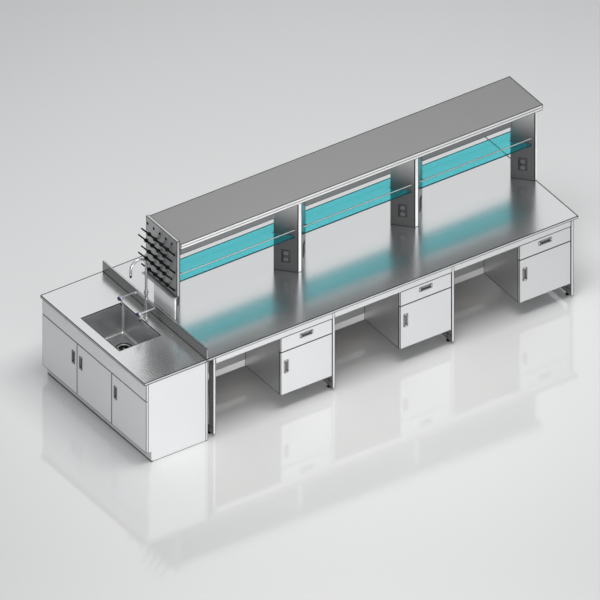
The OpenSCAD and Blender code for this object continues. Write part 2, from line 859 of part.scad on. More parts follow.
module tap_body() {
    color("silver") translate([tap_x, tap_y, bench_h + seat]) {
        difference() {
            union() {
                cylinder(h = tap_foot_h, r = tap_foot_r);
                cylinder(h = collar_h, r = column_r);
                translate([0, 0, collar_h - collar_t / 2]) cylinder(h = collar_t, r = collar_r);
                translate([0, 0, arm_h]) tap_arm();
                translate([0, 0, arm_h]) mirror([0, 1, 0]) tap_arm();
            }
            translate([0, 0, collar_h + collar_t / 2 - stem_l - overrun])
                cylinder(h = stem_l + 2 * overrun, r = stem_r + fit);
        }
    }
}

// The outline path of the spout: up, over in a half circle and down again
module spout_path(r) {
    bend = spout_reach / 2;
    rise = spout_h - collar_h - collar_t / 2 - seat;
    translate([0, 0, spout_h - rise]) cylinder(h = rise, r = r);
    translate([-bend, 0, spout_h]) rotate([90, 0, 0]) rotate_extrude(angle = 180)
        translate([bend, 0]) circle(r);
    translate([-spout_reach, 0, outlet_h + tip_l]) cylinder(h = spout_h - outlet_h - tip_l, r = r);
}

// The swivelling spout, turning on a stem in the collar
module tap_gooseneck() {
    color("silver") translate([tap_x, tap_y, bench_h + seat]) {
        spout_path(spout_r);
        translate([0, 0, collar_h + collar_t / 2 + seat - stem_l])
            cylinder(h = stem_l + overrun, r = stem_r);
    }
}

module gooseneck_tip() {
    color("black") translate([tap_x - spout_reach, tap_y, bench_h + seat + outlet_h])
        cylinder(h = tip_l - tip_play, r1 = spout_r * tip_share, r2 = spout_r);
}

module side_tips() {
    color("black") for (side = [-1, 1])
        translate([
            tap_x - arm_reach, tap_y + side * arm_side, bench_h + seat + arm_h - nozzle_l - side_tip_l
        ]) cylinder(h = side_tip_l - tip_play, r1 = nozzle_r * tip_share, r2 = nozzle_r);
}

// A fluted valve knob on its spindle, facing the sink
module tap_knob(side) {
    color("midnightblue")
        translate([tap_x - arm_reach - valve_l / 2 - seat, tap_y + side * arm_side, bench_h + seat + arm_h])
            rotate([0, -90, 0]) difference() {
                cylinder(h = knob_l, r = knob_r);
                for (i = [0:knob_flutes - 1]) rotate([0, 0, i * 360 / knob_flutes])
                    translate([knob_r * flute_at_share, 0, knob_l * flute_low_share])
                        cylinder(h = knob_l, r = knob_r * flute_r_share);
                translate([0, 0, -overrun]) cylinder(h = spindle_l + overrun, r = spindle_r + fit);
            }
}

module tap_knob_left() {
    tap_knob(1);
}

module tap_knob_right() {
    tap_knob(-1);
}

// Reagent shelf

// Half the plan of a column, from its middle line towards +X, drawn inside a margin
module column_half_plan(m) {
    half = column_d / 2 - m;
    nose = nose_w / 2 - m * tan(slant / 2);
    corner = nose_w / 2 + slant_run - m / sin(slant);
    polygon([[0, -half], [nose, -half], [corner, 0], [nose, half], [0, half]]);
}

// The plan of column i: a diamond with flat noses, or half of one at either end of the shelf
module column_plan(i, m) {
    if (i > 0 && i < 3) {
        column_half_plan(m);
        mirror([1, 0]) column_half_plan(m);
    } else mirror([i == 0 ? 0 : 1, 0]) difference() {
        column_half_plan(m);
        if (m > 0) translate([-overrun, -column_d]) square([m + overrun, 2 * column_d]);
    }
}

// Places children on column i's slanting faces, this far from the nose, with -y pointing outwards
module at_slants(i, across) {
    ways = i == 0 ? [1] : i == 3 ? [-1] : [-1, 1];
    for (way = ways, side = [-1, 1])
        translate([
            shelf_x + column_at[i] + way * (nose_w / 2 + across),
            side * (column_d / 2 - across * tan(slant)), 0
        ]) rotate([0, 0, (side > 0 ? 180 : 0) - side * way * slant]) children();
}

// Folded-sheet columns, cut out for the sockets
module shelf_columns() {
    low = bench_h + seat;
    color("dimgray") for (i = [0:3]) difference() {
        translate([shelf_x + column_at[i], 0, low]) difference() {
            linear_extrude(column_top - low) column_plan(i, 0);
            translate([0, 0, -overrun])
                linear_extrude(column_top - low + 2 * overrun) column_plan(i, sheet);
        }
        at_slants(i, slant_run / 2)
            slab([-socket_w, socket_w] * socket_box_share / 2 + [-seat, seat],
                [-overrun, sheet + overrun],
                [bench_h + socket_h, bench_h + socket_h]
                    + [-socket_l, socket_l] * socket_box_share / 2 + [-seat, seat]);
    }
}

// A twin power outlet: plate with two wells, and the box behind it
module socket_outlet() {
    difference() {
        union() {
            slab([-socket_w, socket_w] / 2, [-socket_plate_t - seat, -seat], [-socket_l, socket_l] / 2);
            slab([-socket_w, socket_w] * socket_box_share / 2, [-socket_plate_t - seat, socket_box_d],
                [-socket_l, socket_l] * socket_box_share / 2);
        }
        for (side = [-1, 1]) translate([0, -socket_plate_t - seat - overrun, side * socket_l / 4])
            rotate([-90, 0, 0]) cylinder(h = socket_well_d + overrun, r = socket_well_r);
    }
}

module socket_outlets() {
    color("darkslategray") for (i = [0:3]) at_slants(i, slant_run / 2)
        translate([0, 0, bench_h + socket_h]) socket_outlet();
}

// The top shelf: an upper tray over a lower one, with a shadow line between their edges
module top_shelf() {
    top = bench_h + shelf_h;
    mid = top - shelf_t / 2;
    y = [-shelf_d / 2, shelf_d / 2];
    color("silver") {
        tray([shelf_x, x_end], y, [mid, top], sheet, [0, 0, -1]);
        tray([shelf_x + edge_gap, x_end - edge_gap], y + [edge_gap, -edge_gap], [top - shelf_t, mid - seat],
            sheet, [0, 0, 1]);
    }
}

// The plan of what spans bay i, this deep, its ends cut along the slanting faces of the columns
module bay_plan(i, depth, gap) {
    half = depth / 2;
    back = (column_d / 2 - half) / tan(slant);
    from = shelf_x + column_at[i] + nose_w / 2 + gap / sin(slant);
    to = shelf_x + column_at[i + 1] - nose_w / 2 - gap / sin(slant);
    polygon([
        [from + back, -half], [to - back, -half], [to - slant_run, 0],
        [to - back, half], [from + back, half], [from + slant_run, 0]
    ]);
}

// The upright panels on the middle line, from column to column under the top shelf
module spine_panel() {
    color("gray") for (i = [0:2]) translate([0, 0, bench_h + spine_h])
        linear_extrude(column_top - bench_h - spine_h) bay_plan(i, spine_t, seat);
}

module glass_shelves() {
    color("turquoise", 0.6) for (i = [0:2])
        translate([0, 0, glass_top - glass_t]) linear_extrude(glass_t) bay_plan(i, glass_d, glass_gap);
}

// Guard rails along the glass, and the pins in the columns that carry the glass
module guard_rails() {
    y = glass_d / 2;
    back = (column_d / 2 - y) / tan(slant);
    start = nose_w / 2 + back + guard_r / tan(slant) + seat / sin(slant);
    color("silver") {
        for (i = [0:2], side = [-1, 1]) {
            from = shelf_x + column_at[i] + start;
            to = shelf_x + column_at[i + 1] - start;
            translate([from, side * y, glass_top + guard_h]) rotate([0, 90, 0])
                cylinder(h = to - from, r = guard_r);
        }
        for (i = [0:3], across = [back + clip_edge, slant_run - clip_edge]) at_slants(i, across)
            translate([0, -seat, glass_top - glass_t - glass_gap - clip_r]) rotate([90, 0, 0])
                cylinder(h = clip_l, r = clip_r);
    }
}

// Peg board

function row_z(row) = board_top - peg_drop - row * peg_pitch;
function peg_y(row, i) = (i + (row % 2 == 1 ? 0 : 0.5) - pegs_in_row / 2) * peg_pitch - peg_mid;

// A peg on its lean: round stem, bulb half way and a round tip
module peg() {
    rotate([0, -90, 0]) {
        cylinder(h = peg_collar_t, r = peg_collar_r);
        translate([0, 0, -board_t / 2]) cylinder(h = board_t / 2 + peg_collar_t, r = peg_r);
    }
    difference() {
        rotate([0, -peg_lean, 0]) rotate_extrude() intersection() {
            union() {
                polygon([[0, 0], [peg_r, 0], [peg_tip_r, peg_l - peg_tip_r], [0, peg_l - peg_tip_r]]);
                translate([0, peg_l - peg_tip_r]) circle(peg_tip_r);
                translate([0, peg_l * bulb_share]) circle(bulb_r);
            }
            square([bulb_r, peg_l + overrun]);
        }
        // The stem's root ends inside the collar, clear of the board
        slab([-peg_collar_t / 2, board_t], [-peg_collar_r, peg_collar_r], [-board_t, board_t]);
    }
}

module pegs() {
    color("black") for (row = [1:peg_rows], i = [0:pegs_in_row - 1])
        translate([board_face - seat, peg_y(row, i), row_z(row)]) peg();
}

// The board: a tray open towards the column, drilled for the pegs and one empty row
module pegboard() {
    color("darkgray") difference() {
        tray([board_face, board_face + board_t], [-board_w, board_w] / 2, [board_top - board_h, board_top],
            sheet, [1, 0, 0]);
        for (row = [0:peg_rows], i = [0:pegs_in_row - (row == 0 ? 0 : 1)])
            translate([board_face - overrun, peg_y(row, i), row_z(row)]) rotate([0, 90, 0])
                cylinder(h = sheet + 2 * overrun, r = peg_hole_r);
    }
}

// The section of the trough: a flange under the board, a round bottom and a rolled lip
module trough_section() {
    r = trough_w / 2;
    translate([0, -sheet]) square([board_t + sheet, sheet]);
    translate([board_t + r, 0]) difference() {
        circle(r);
        circle(r - sheet);
        translate([-2 * r, 0]) square([4 * r, 2 * r]);
    }
    translate([board_t + trough_w - lip_r, 0]) difference() {
        circle(lip_r);
        circle(lip_r - sheet);
        translate([-2 * lip_r, -4 * lip_r]) square([4 * lip_r, 4 * lip_r]);
    }
}

// The drip trough along the foot of the board, closed at both ends
module drip_trough() {
    r = trough_w / 2;
    color("silver") translate([board_face + board_t, board_w / 2, board_top - board_h - seat])
        rotate([90, 0, 180]) mirror([0, 0, 1]) {
            linear_extrude(board_w) trough_section();
            for (z = [0, board_w - sheet])
                translate([board_t + r, 0, z]) linear_extrude(sheet) difference() {
                    circle(r - sheet - seat);
                    translate([-2 * r, -seat]) square([4 * r, 2 * r]);
                }
        }
}

sink_cabinet();
sink_counter();
core_boards();
sink_bowl();
sink_waste();
basket_strainer();
for (i = [0:2]) {
    sink_door_at(i);
    sink_pull_at(i);
}
tap_body();
tap_gooseneck();
gooseneck_tip();
side_tips();
tap_knob_left();
tap_knob_right();
worktop();
leg_frames();
levelling_feet();
bench_rails();
service_panels();
front_carcasses();
rear_carcasses();
for (k = [1:6]) {
    drawer_at(k);
    drawer_pull_at(k);
    door_at(k);
    door_pull_at(k);
}
drawer_runners();
hinge_pins();
shelf_columns();
top_shelf();
spine_panel();
glass_shelves();
guard_rails();
socket_outlets();
pegboard();
pegs();
drip_trough();
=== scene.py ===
# Island laboratory bench in stainless steel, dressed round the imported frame
import json
import math
import bmesh
import bpy
import numpy as np
from mathutils import Matrix, Vector

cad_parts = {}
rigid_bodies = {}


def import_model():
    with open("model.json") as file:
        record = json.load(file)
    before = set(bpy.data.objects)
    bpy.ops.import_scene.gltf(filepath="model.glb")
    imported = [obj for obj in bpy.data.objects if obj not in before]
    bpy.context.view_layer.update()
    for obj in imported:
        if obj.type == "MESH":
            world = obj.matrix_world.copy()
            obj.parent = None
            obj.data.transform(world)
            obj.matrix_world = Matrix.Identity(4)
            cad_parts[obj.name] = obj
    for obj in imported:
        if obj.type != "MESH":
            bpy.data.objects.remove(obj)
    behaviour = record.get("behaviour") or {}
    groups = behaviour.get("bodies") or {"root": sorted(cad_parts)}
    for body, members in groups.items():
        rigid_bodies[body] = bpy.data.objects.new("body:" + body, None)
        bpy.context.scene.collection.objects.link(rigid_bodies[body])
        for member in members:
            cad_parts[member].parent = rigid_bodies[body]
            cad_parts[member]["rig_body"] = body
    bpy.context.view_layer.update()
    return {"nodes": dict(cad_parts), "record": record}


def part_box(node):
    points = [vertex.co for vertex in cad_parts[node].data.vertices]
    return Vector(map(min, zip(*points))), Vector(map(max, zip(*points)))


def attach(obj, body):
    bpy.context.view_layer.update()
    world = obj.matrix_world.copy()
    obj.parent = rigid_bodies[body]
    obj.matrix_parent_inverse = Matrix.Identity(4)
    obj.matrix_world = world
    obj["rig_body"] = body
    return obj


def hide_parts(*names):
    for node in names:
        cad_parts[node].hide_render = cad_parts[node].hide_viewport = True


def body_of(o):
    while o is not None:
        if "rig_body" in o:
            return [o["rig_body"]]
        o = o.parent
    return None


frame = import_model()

mm = 0.001
scene = bpy.context.scene
nodes = frame["nodes"]
slotOf = {part["node"]: part["material_slot"] for part in frame["record"]["subparts"]}


def bodyOf(node):
    return body_of(nodes[node])[0]


def boxOf(node):
    # A CAD node's corners at rest, in millimetres
    return tuple(np.array(corner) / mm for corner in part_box(node))


def numbered(stem, count):
    return [f"{stem}_{i + 1}" for i in range(count)]


# Shapes. All lengths here are millimetres, and each shape is one or more grids of points

class Shape:
    def __init__(self):
        self.points, self.faces, self.total = [], [], 0

    def grid(self, rows):
        # Rows of points, each row a closed ring: neighbours in a row and between rows make quads
        n, m = rows.shape[:2]
        i, j = np.meshgrid(np.arange(n - 1), np.arange(m), indexing="ij")
        k = (j + 1) % m
        quads = np.stack([i * m + j, i * m + k, (i + 1) * m + k, (i + 1) * m + j], -1).reshape(-1, 4)
        self.points.append(rows.reshape(-1, 3))
        self.faces.append(quads + self.total)
        self.total += n * m

    def piece(self, name, finish, node, stands=True, crease=35):
        # One mesh of all the grids, on the node's body; it stands for the node, or comes beside what does
        body, slot = bodyOf(node), slotOf[node]
        mesh = bpy.data.meshes.new(name)
        mesh.from_pydata((np.concatenate(self.points) * mm).tolist(), [], np.concatenate(self.faces).tolist())
        work = bmesh.new()
        work.from_mesh(mesh)
        bmesh.ops.remove_doubles(work, verts=work.verts, dist=2e-6)
        bmesh.ops.recalc_face_normals(work, faces=work.faces)
        work.to_mesh(mesh)
        work.free()
        mesh.shade_smooth()
        mesh.set_sharp_from_angle(angle=math.radians(crease))
        mesh.materials.append(finish.material)
        obj = bpy.data.objects.new(name, mesh)
        scene.collection.objects.link(obj)
        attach(obj, body)
        if stands:
            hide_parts(node)
        return obj


def sheetWall(obj, thick, offset):
    wall = obj.modifiers.new("sheet", "SOLIDIFY")
    wall.thickness, wall.offset = thick * mm, offset


def basis(axis):
    # Two directions square to the axis, and the axis
    w = np.array(axis, float) / np.linalg.norm(axis)
    u = np.cross([0, 1, 0] if abs(w[1]) < 0.9 else [0, 0, 1], w)
    u /= np.linalg.norm(u)
    return u, np.cross(w, u), w


def eased(points, ease, steps=4):
    # Each inner corner of a line becomes a short curve: (1-t)^2 before + 2t(1-t) corner + t^2 after
    p = np.array(points, float)
    t = np.linspace(0, 1, steps)[:, None]
    out = [p[:1]]
    for before, corner, after in zip(p[:-2], p[1:-1], p[2:]):
        a, b = before - corner, after - corner
        la, lb = np.linalg.norm(a), np.linalg.norm(b)
        start, end = corner + a * min(ease / la, 0.5), corner + b * min(ease / lb, 0.5)
        out.append((1 - t) ** 2 * start + 2 * t * (1 - t) * corner + t ** 2 * end)
    return np.concatenate(out + [p[-1:]])


def turned(shape, profile, origin, axis, count=36, lobes=None):
    # A profile of radius and distance, turned about the axis; lobes scales the radius by the angle
    profile = np.array(profile, float)
    angle = np.linspace(0, 2 * np.pi, count, endpoint=False)
    u, v, w = basis(axis)
    around = np.cos(angle)[:, None] * u + np.sin(angle)[:, None] * v
    scale = np.ones(count) if lobes is None else lobes(angle)
    radius = profile[:, 0, None] * scale
    shape.grid(np.array(origin, float) + profile[:, 1, None, None] * w + radius[..., None] * around)


def tube(shape, path, radius, normal, count):
    # A ring square to the path at each of its points, drawn together to a point at both ends
    path = np.array(path, float)
    along = np.gradient(path, axis=0)
    along /= np.linalg.norm(along, axis=1)[:, None]
    n = np.array(normal, float)
    angle = np.linspace(0, 2 * np.pi, count, endpoint=False)
    across = np.cross(along, n)
    ring = np.cos(angle)[None, :, None] * n + np.sin(angle)[None, :, None] * across[:, None]
    rows = path[:, None] + radius * ring
    start, end = np.repeat(path[:1, None], count, 1), np.repeat(path[-1:, None], count, 1)
    shape.grid(np.concatenate([start, rows, end]))


def roundLoop(w, l, r, arc, side):
    # A rectangle with round corners: four quarter arcs, with points along the straight sides too
    a = np.linspace(0, np.pi / 2, arc)
    corners = []
    for k, (sx, sy) in enumerate([(1, 1), (-1, 1), (-1, -1), (1, -1)]):
        turn = a + k * np.pi / 2
        middle = (sx * (w / 2 - r), sy * (l / 2 - r))
        corners.append(np.stack([middle[0] + r * np.cos(turn), middle[1] + r * np.sin(turn)], 1))
    out = []
    t = np.linspace(0, 1, side + 1, endpoint=False)[1:, None]
    for k in range(4):
        end, start = corners[k][-1], corners[(k + 1) % 4][0]
        out += [corners[k], end + (start - end) * t]
    return np.concatenate(out)


def stacked(shape, rows, origin, u, v, w, arc):
    # Rings of width, length, corner radius and height, placed on three axes
    u, v, w = (np.array(axis, float) for axis in (u, v, w))
    least = 1e-6
    rings = []
    for width, length, radius, height in rows:
        corner = max(min(radius, width / 2, length / 2), 0)
        flat = roundLoop(max(width, least), max(length, least), corner, arc, 1)
        rings.append(np.array(origin, float) + flat[:, :1] * u + flat[:, 1:] * v + height * w)
    shape.grid(np.stack(rings))


# Finishes. A wire is a socket whose sums, products and comparisons add Math nodes

class Wire:
    def __init__(self, tree, socket):
        self.tree, self.socket = tree, socket

    def __add__(self, other):
        return self.tree.math("ADD", self, other)

    def __sub__(self, other):
        return self.tree.math("SUBTRACT", self, other)

    def __rsub__(self, other):
        return self.tree.math("SUBTRACT", other, self)

    def __mul__(self, other):
        return self.tree.math("MULTIPLY", self, other)

    def __gt__(self, other):
        return self.tree.math("GREATER_THAN", self, other)

    def __lt__(self, other):
        return self.tree.math("LESS_THAN", self, other)

    __radd__, __rmul__ = __add__, __mul__


class NodeTree:
    # The nodes of one material or of the world
    def __init__(self, tree):
        self.tree = tree

    def node(self, kind, settings=None, inputs=None, out=0):
        # Any node: its settings first, then its sockets' values or links
        made = self.tree.nodes.new(kind)
        for key, value in (settings or {}).items():
            if key == "stops":
                ramp = made.color_ramp
                for spare in range(len(value) - 2):
                    ramp.elements.new(0.5)
                for stop, (position, colour) in zip(ramp.elements, value):
                    stop.position, stop.color = position, colour
            else:
                setattr(made, key, value)
        for key, value in (inputs or {}).items():
            self.feed(made.inputs[key], value)
        return Wire(self, made.outputs[out])

    def feed(self, socket, value):
        if isinstance(value, Wire):
            self.tree.links.new(value.socket, socket)
        else:
            socket.default_value = value

    def math(self, kind, first, second=0.0):
        return self.node("ShaderNodeMath", {"operation": kind}, {0: first, 1: second})

    def distance(self, value):
        return self.math("ABSOLUTE", value)

    def least(self, first, second):
        return self.math("MINIMUM", first, second)

    def most(self, first, second):
        return self.math("MAXIMUM", first, second)

    def between(self, value, start, end, low, high, kind="SMOOTHSTEP"):
        # Low up to the start and high from the end, with an even or an eased change between
        ends = {0: value, 1: start, 2: end, 3: low, 4: high}
        return self.node("ShaderNodeMapRange", {"interpolation_type": kind}, ends)


def grey(value, tint=(1, 1, 1)):
    return tuple(value * t for t in tint) + (1,)


# Painted shade: the dark of the lines along edges and joints, standing for the shade in the gaps
darkLineColour = (0.03, 0.031, 0.033, 1)        # the dark lines along the edges
nowhere = (-9.0,)                    # a plane far from the bench, for an axis that takes no part in a line


class Finish(NodeTree):
    def __init__(self, name, **fixed):
        self.material = bpy.data.materials.new(name)
        self.material.use_nodes = True
        super().__init__(self.material.node_tree)
        self.shader = self.tree.nodes["Principled BSDF"]
        self.place = self.node("ShaderNodeTexCoord", out="Object")
        self.set(**fixed)

    def set(self, **values):
        for key, value in values.items():
            self.feed(self.shader.inputs[key.replace("_", " ")], value)
        return self

    def noise(self, stretch, scale=1.0, detail=2.0):
        # Noise on the object's own coordinates, drawn out by the stretch
        at = self.node("ShaderNodeMapping", None, {"Vector": self.place, "Scale": stretch})
        return self.node("ShaderNodeTexNoise", None, {"Vector": at, "Scale": scale, "Detail": detail})

    def mix(self, factor, first, second):
        # The Mix node's colours are its sockets 6 and 7 and its output 2
        return self.node("ShaderNodeMix", {"data_type": "RGBA"}, {0: factor, 6: first, 7: second}, out=2)

    def axis(self, name):
        return self.node("ShaderNodeSeparateXYZ", None, {0: self.place}, out=name)

    def wrapped(self, planes, period, margin=0.05, spare=10):
        # X for things that repeat along the bench: every copy gives the first one's place. The spare
        # periods keep the remainder's number above nought
        start = min(planes) - margin
        return self.math("MODULO", self.axis("X") - start + spare * period, period) + start

    def nearEdges(self, width, planes, period=None):
        # 1 along edges: where a point lies within the width, in mm, of planes of two axes at once, in metres
        near = []
        for name in "XYZ":
            at = self.wrapped(planes["X"], period) if period and name == "X" else self.axis(name)
            gaps = [self.distance(at - plane) for plane in planes[name]]
            nearest = gaps[0]
            for gap in gaps[1:]:
                nearest = self.least(nearest, gap)
            near.append(nearest)
        a, b, c = near
        middle = self.most(self.least(a, b), self.least(self.most(a, b), c))
        return self.between(middle, width * 0.5 * mm, width * mm, 1.0, 0.0)

    def paint(self, mask, colour=darkLineColour):
        # Lays a colour over the base colour where the mask is 1
        before = Wire(self, self.shader.inputs["Base Color"].links[0].from_socket)
        return self.set(Base_Color=self.mix(mask, before, colour))

    def line(self, kind, planes, period=None, colour=darkLineColour):
        # A line of painted shade, of one of the usual widths, along the edges where the planes meet
        return self.paint(self.nearEdges(lineWide[kind], planes, period), colour)

    def rough(self, roughness, fine, coarse, swings):
        # The fine and the coarse noise raise and lower the roughness by half of their swings
        return self.set(Roughness=fine * swings[0] + coarse * swings[1] + (roughness - sum(swings) / 2))

    def bump(self, height, strength, distance=0.0002):
        inputs = {"Height": height, "Strength": strength, "Distance": distance}
        return self.set(Normal=self.node("ShaderNodeBump", None, inputs))


# Tone, roughness, metallic, the axis it is brushed along, then how strong grain, patches and relief are
steels = {
    "worktop": (0.74, 0.21, 0.94, "x", 0.08, 0.02, 0.05),
    "counter": (0.85, 0.25, 0.94, "y", 0.06, 0.02, 0.02),
    "front": (0.76, 0.42, 0.4, "x", 0.10, 0.04, 0.15),
    "sinkFront": (0.69, 0.42, 0.35, "y", 0.10, 0.04, 0.15),
    "shade": (0.44, 0.34, 0.75, "y", 0.12, 0.08, 0.15),
    "frame": (0.82, 0.45, 0.35, "z", 0.08, 0.04, 0.15),
    "rail": (0.82, 0.45, 0.35, "x", 0.08, 0.04, 0.15),
    # The columns' dark tone is painted shade on their slanting faces
    "column": (0.15, 0.30, 0.8, "z", 0.12, 0.08, 0.15),
    "bowl": (0.57, 0.33, 0.85, "z", 0.06, 0.10, 0.05),
    "board": (0.5, 0.38, 0.7, "z", 0.12, 0.06, 0.15),
    # The spine is darker as painted shade, under the top shelf
    "spine": (0.255, 0.4, 0.5, "x", 0.30, 0.06, 0.15),
}
brush = {"short": 700, "long": 5, "patch": 2.2, "swing": 0.45, "tint": (0.99, 1, 1.01), "rough": (0.10, 0.06)}


def brushedSteel(name, kind, darker=0.0):
    # Fine brush lines drawn out along one axis, over broad soft patches
    tone, roughness, metallic, along, grain, patches, relief = steels[kind]
    tone -= darker
    finish = Finish(name, Metallic=metallic)
    lines = finish.noise([brush["long"] if axis == along else brush["short"] for axis in "xyz"], 1, 3)
    cloud = finish.noise((1, 1, 1), brush["patch"], 3)
    shade = lines * grain + cloud * patches + (0.5 - grain / 2 - patches / 2)
    low = grey(tone * (1 - brush["swing"]), brush["tint"])
    high = grey(min(tone * (1 + brush["swing"]), 1.0), brush["tint"])
    finish.set(Base_Color=finish.mix(shade, low, high))
    return finish.rough(roughness, lines, cloud, brush["rough"]).bump(lines, relief)


speckles = {"patch": 14, "colour": (0.3, 0.7), "rough": (0.08, 0.06)}


def plainFinish(name, colour, roughness, metallic=0.0, speckle=900, relief=0.1, variation=0.12, **fixed):
    # An even finish with a fine grain in its colour, roughness and height, over soft patches
    finish = Finish(name, Metallic=metallic, **fixed)
    grain = finish.noise((1, 1, 1), speckle)
    cloud = finish.noise((1, 1, 1), speckles["patch"])
    dark = tuple(c * (1 - variation) for c in colour) + (1,)
    light = tuple(min(c * (1 + variation), 1) for c in colour) + (1,)
    fine, coarse = speckles["colour"]
    finish.set(Base_Color=finish.mix(cloud * coarse + grain * fine, dark, light))
    return finish.rough(roughness, grain, cloud, speckles["rough"]).bump(grain, relief)


dull = {"IOR": 1.15}
chrome = plainFinish("tapChrome", (0.48, 0.49, 0.5), 0.26, 0.85, 300, 0.04, 0.05)
zinc = plainFinish("zincPlate", (0.52, 0.53, 0.55), 0.38, 0.9, 120, 0.1, 0.15)
blackRubber = plainFinish("blackRubber", (0.012, 0.012, 0.013), 0.55, 0.0, 700, 0.25, 0.3, **dull)
pegPlastic = plainFinish("pegPlastic", (0.004, 0.004, 0.004), 0.6, 0.0, 900, 0.08, 0.3, **dull)
navyPlastic = plainFinish("navyPlastic", (0.012, 0.02, 0.085), 0.32, 0.0, 800, 0.1, 0.2)
socketPlate = plainFinish("socketPlate", (0.02, 0.02, 0.021), 0.5, 0.0, 900, 0.15, 0.1)
socketFace = plainFinish("socketFace", (0.10, 0.10, 0.105), 0.5, 0.0, 900, 0.1, 0.1)
print("finishes ready")


# CAD nodes that keep their shape get a finish, and a rounding on their folded edges

lineWide = {"panels": 5.6, "tops": 6.6, "frames": 5.6, "carcass": 8, "fold": 4.4, "pull": 4, "far": 13,
            "splash": 4.4, "toe": 18, "glass": 9.1}


def dress(node, finish, rounding=0.0):
    obj = nodes[node]
    obj.data.materials.clear()
    obj.data.materials.append(finish.material)
    if rounding:
        weld = obj.modifiers.new("weld", "WELD")
        weld.merge_threshold = 0.01 * mm
        soften = obj.modifiers.new("soften", "BEVEL")
        soften.width, soften.segments, soften.limit_method = rounding * mm, 2, "ANGLE"
        soften.angle_limit = math.radians(40)
        soften.harden_normals = True
        soften.use_clamp_overlap = True


def boxPlanes(low, high):
    return {name: (float(low[i]), float(high[i])) for i, name in enumerate("XYZ")}


def nodePlanes(node):
    return boxPlanes(*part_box(node))


def farLines(finish, low, high, right=True):
    # The rear and right edges of a top show one face only, so their painted shade lines are wider there
    top = (high[2],)
    finish.line("far", {"X": nowhere, "Y": (high[1],), "Z": top})
    if right:
        finish.line("far", {"X": (high[0],), "Y": nowhere, "Z": top})


frontForm = {"paintedFalloff": 0.05, "rounding": 0.5}


def dressFronts():
    # Painted light: the bench's doors and drawers get a little darker with every metre away from the sink, as
    # the light falls off, and each gets painted shade lines round its edges
    for panel in numbered("sink_door", 3) + numbered("door", 6) + numbered("drawer", 6):
        if panel.startswith("sink"):
            finish = brushedSteel(panel + "Steel", "sinkFront")
        else:
            finish = brushedSteel(panel + "Steel", "front", frontForm["paintedFalloff"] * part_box(panel)[0][0])
        finish.line("panels", nodePlanes(panel))
        dress(panel, finish, frontForm["rounding"])


# Millimetres. Foot is the splashback's front face, from before it to behind it, and the tone of its painted
# shade; front is how deep the painted shade of the counter's narrow front face reaches, and its tone
counterForm = {"splash": 15, "foot": (-0.5, 2, 0.27), "front": (0.8, 0.42), "opening": (-1820, 20, 394, 552),
               "rimDeep": 4, "rounding": 0.5}


def dressTops():
    f = counterForm
    low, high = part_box("sink_counter")
    topLow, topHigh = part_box("worktop")
    level = topHigh[2]
    splashAt = high[0] - f["splash"] * mm
    steel = brushedSteel("counterSteel", "counter")
    atX, atY, atZ = (steel.axis(name) for name in "XYZ")
    before, behind, footTone = f["foot"]
    # Painted shade on the splashback's front face, and on the counter's narrow front face
    foot = (atX > splashAt + before * mm) * (atX < splashAt + behind * mm) * (atZ > level)
    steel.paint(foot, grey(footTone))
    skin, frontTone = f["front"]
    steel.paint(atX < low[0] + skin * mm, grey(frontTone))
    steel.line("tops", boxPlanes(low, (high[0], high[1], level)))
    steel.line("splash", boxPlanes((splashAt, low[1], level), high))
    farLines(steel, low, (high[0], high[1], level), right=False)
    # A painted shadow round the rim of the bowl's opening, where the larger of the distances past its sides
    # is near nought
    x, y, wide, long = (value * mm for value in f["opening"])
    rim = steel.distance(steel.most(steel.distance(atX - x) - wide / 2, steel.distance(atY - y) - long / 2))
    steel.paint((rim < lineWide["tops"] * mm) * (atZ > level - f["rimDeep"] * mm))
    dress("sink_counter", steel, f["rounding"])

    steel = brushedSteel("worktopSteel", "worktop")
    steel.line("tops", nodePlanes("worktop"))
    farLines(steel, topLow, topHigh)
    dress("worktop", steel, f["rounding"])


# Millimetres: the apron over the doors starts a gap above them, and the toe board stands back from them
cabinetForm = {"apronGap": 3, "frontDeep": 4, "fold": 20, "toeHigh": 102, "toeBack": 50, "toeSkin": 3,
               "toeTone": 0.6, "rounding": 0.5}


def dressSinkCabinet():
    f = cabinetForm
    low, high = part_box("sink_cabinet")
    doorLow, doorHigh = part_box("sink_door_1")
    steel = brushedSteel("sinkCabinetSteel", "sinkFront")
    steel.line("panels", nodePlanes("sink_cabinet"))
    # Painted shade lines round the apron, on its front face only
    apron = boxPlanes((low[0], low[1], doorHigh[2] + f["apronGap"] * mm), high)
    onFront = steel.axis("X") < low[0] + f["frontDeep"] * mm
    steel.paint(steel.nearEdges(lineWide["panels"], apron) * onFront)
    # Painted shade lines along the side panel's folded edges, front and rear
    folds = (low[0] + f["fold"] * mm, high[0] - f["fold"] * mm)
    steel.line("fold", {"X": folds, "Y": (low[1],), "Z": nowhere})
    # The toe board, painted a little darker as painted shade under the doors, with a painted contact shadow
    # along the floor
    toeAt = doorLow[0] + f["toeBack"] * mm
    steel.paint((steel.axis("Z") < f["toeHigh"] * mm) * (steel.axis("X") < toeAt + f["toeSkin"] * mm),
                grey(f["toeTone"]))
    steel.line("toe", {"X": (toeAt,), "Y": nowhere, "Z": (0.0,)})
    dress("sink_cabinet", steel, f["rounding"])


# Millimetres: the frames' tube, the skin of the side that faces the sink, painted dark as painted shade, and
# a carcass's width
frameForm = {"wide": 25, "high": 60, "count": 4, "skin": 1.2, "sideTone": 0.17, "carcass": 500,
             "rounding": 0.5}


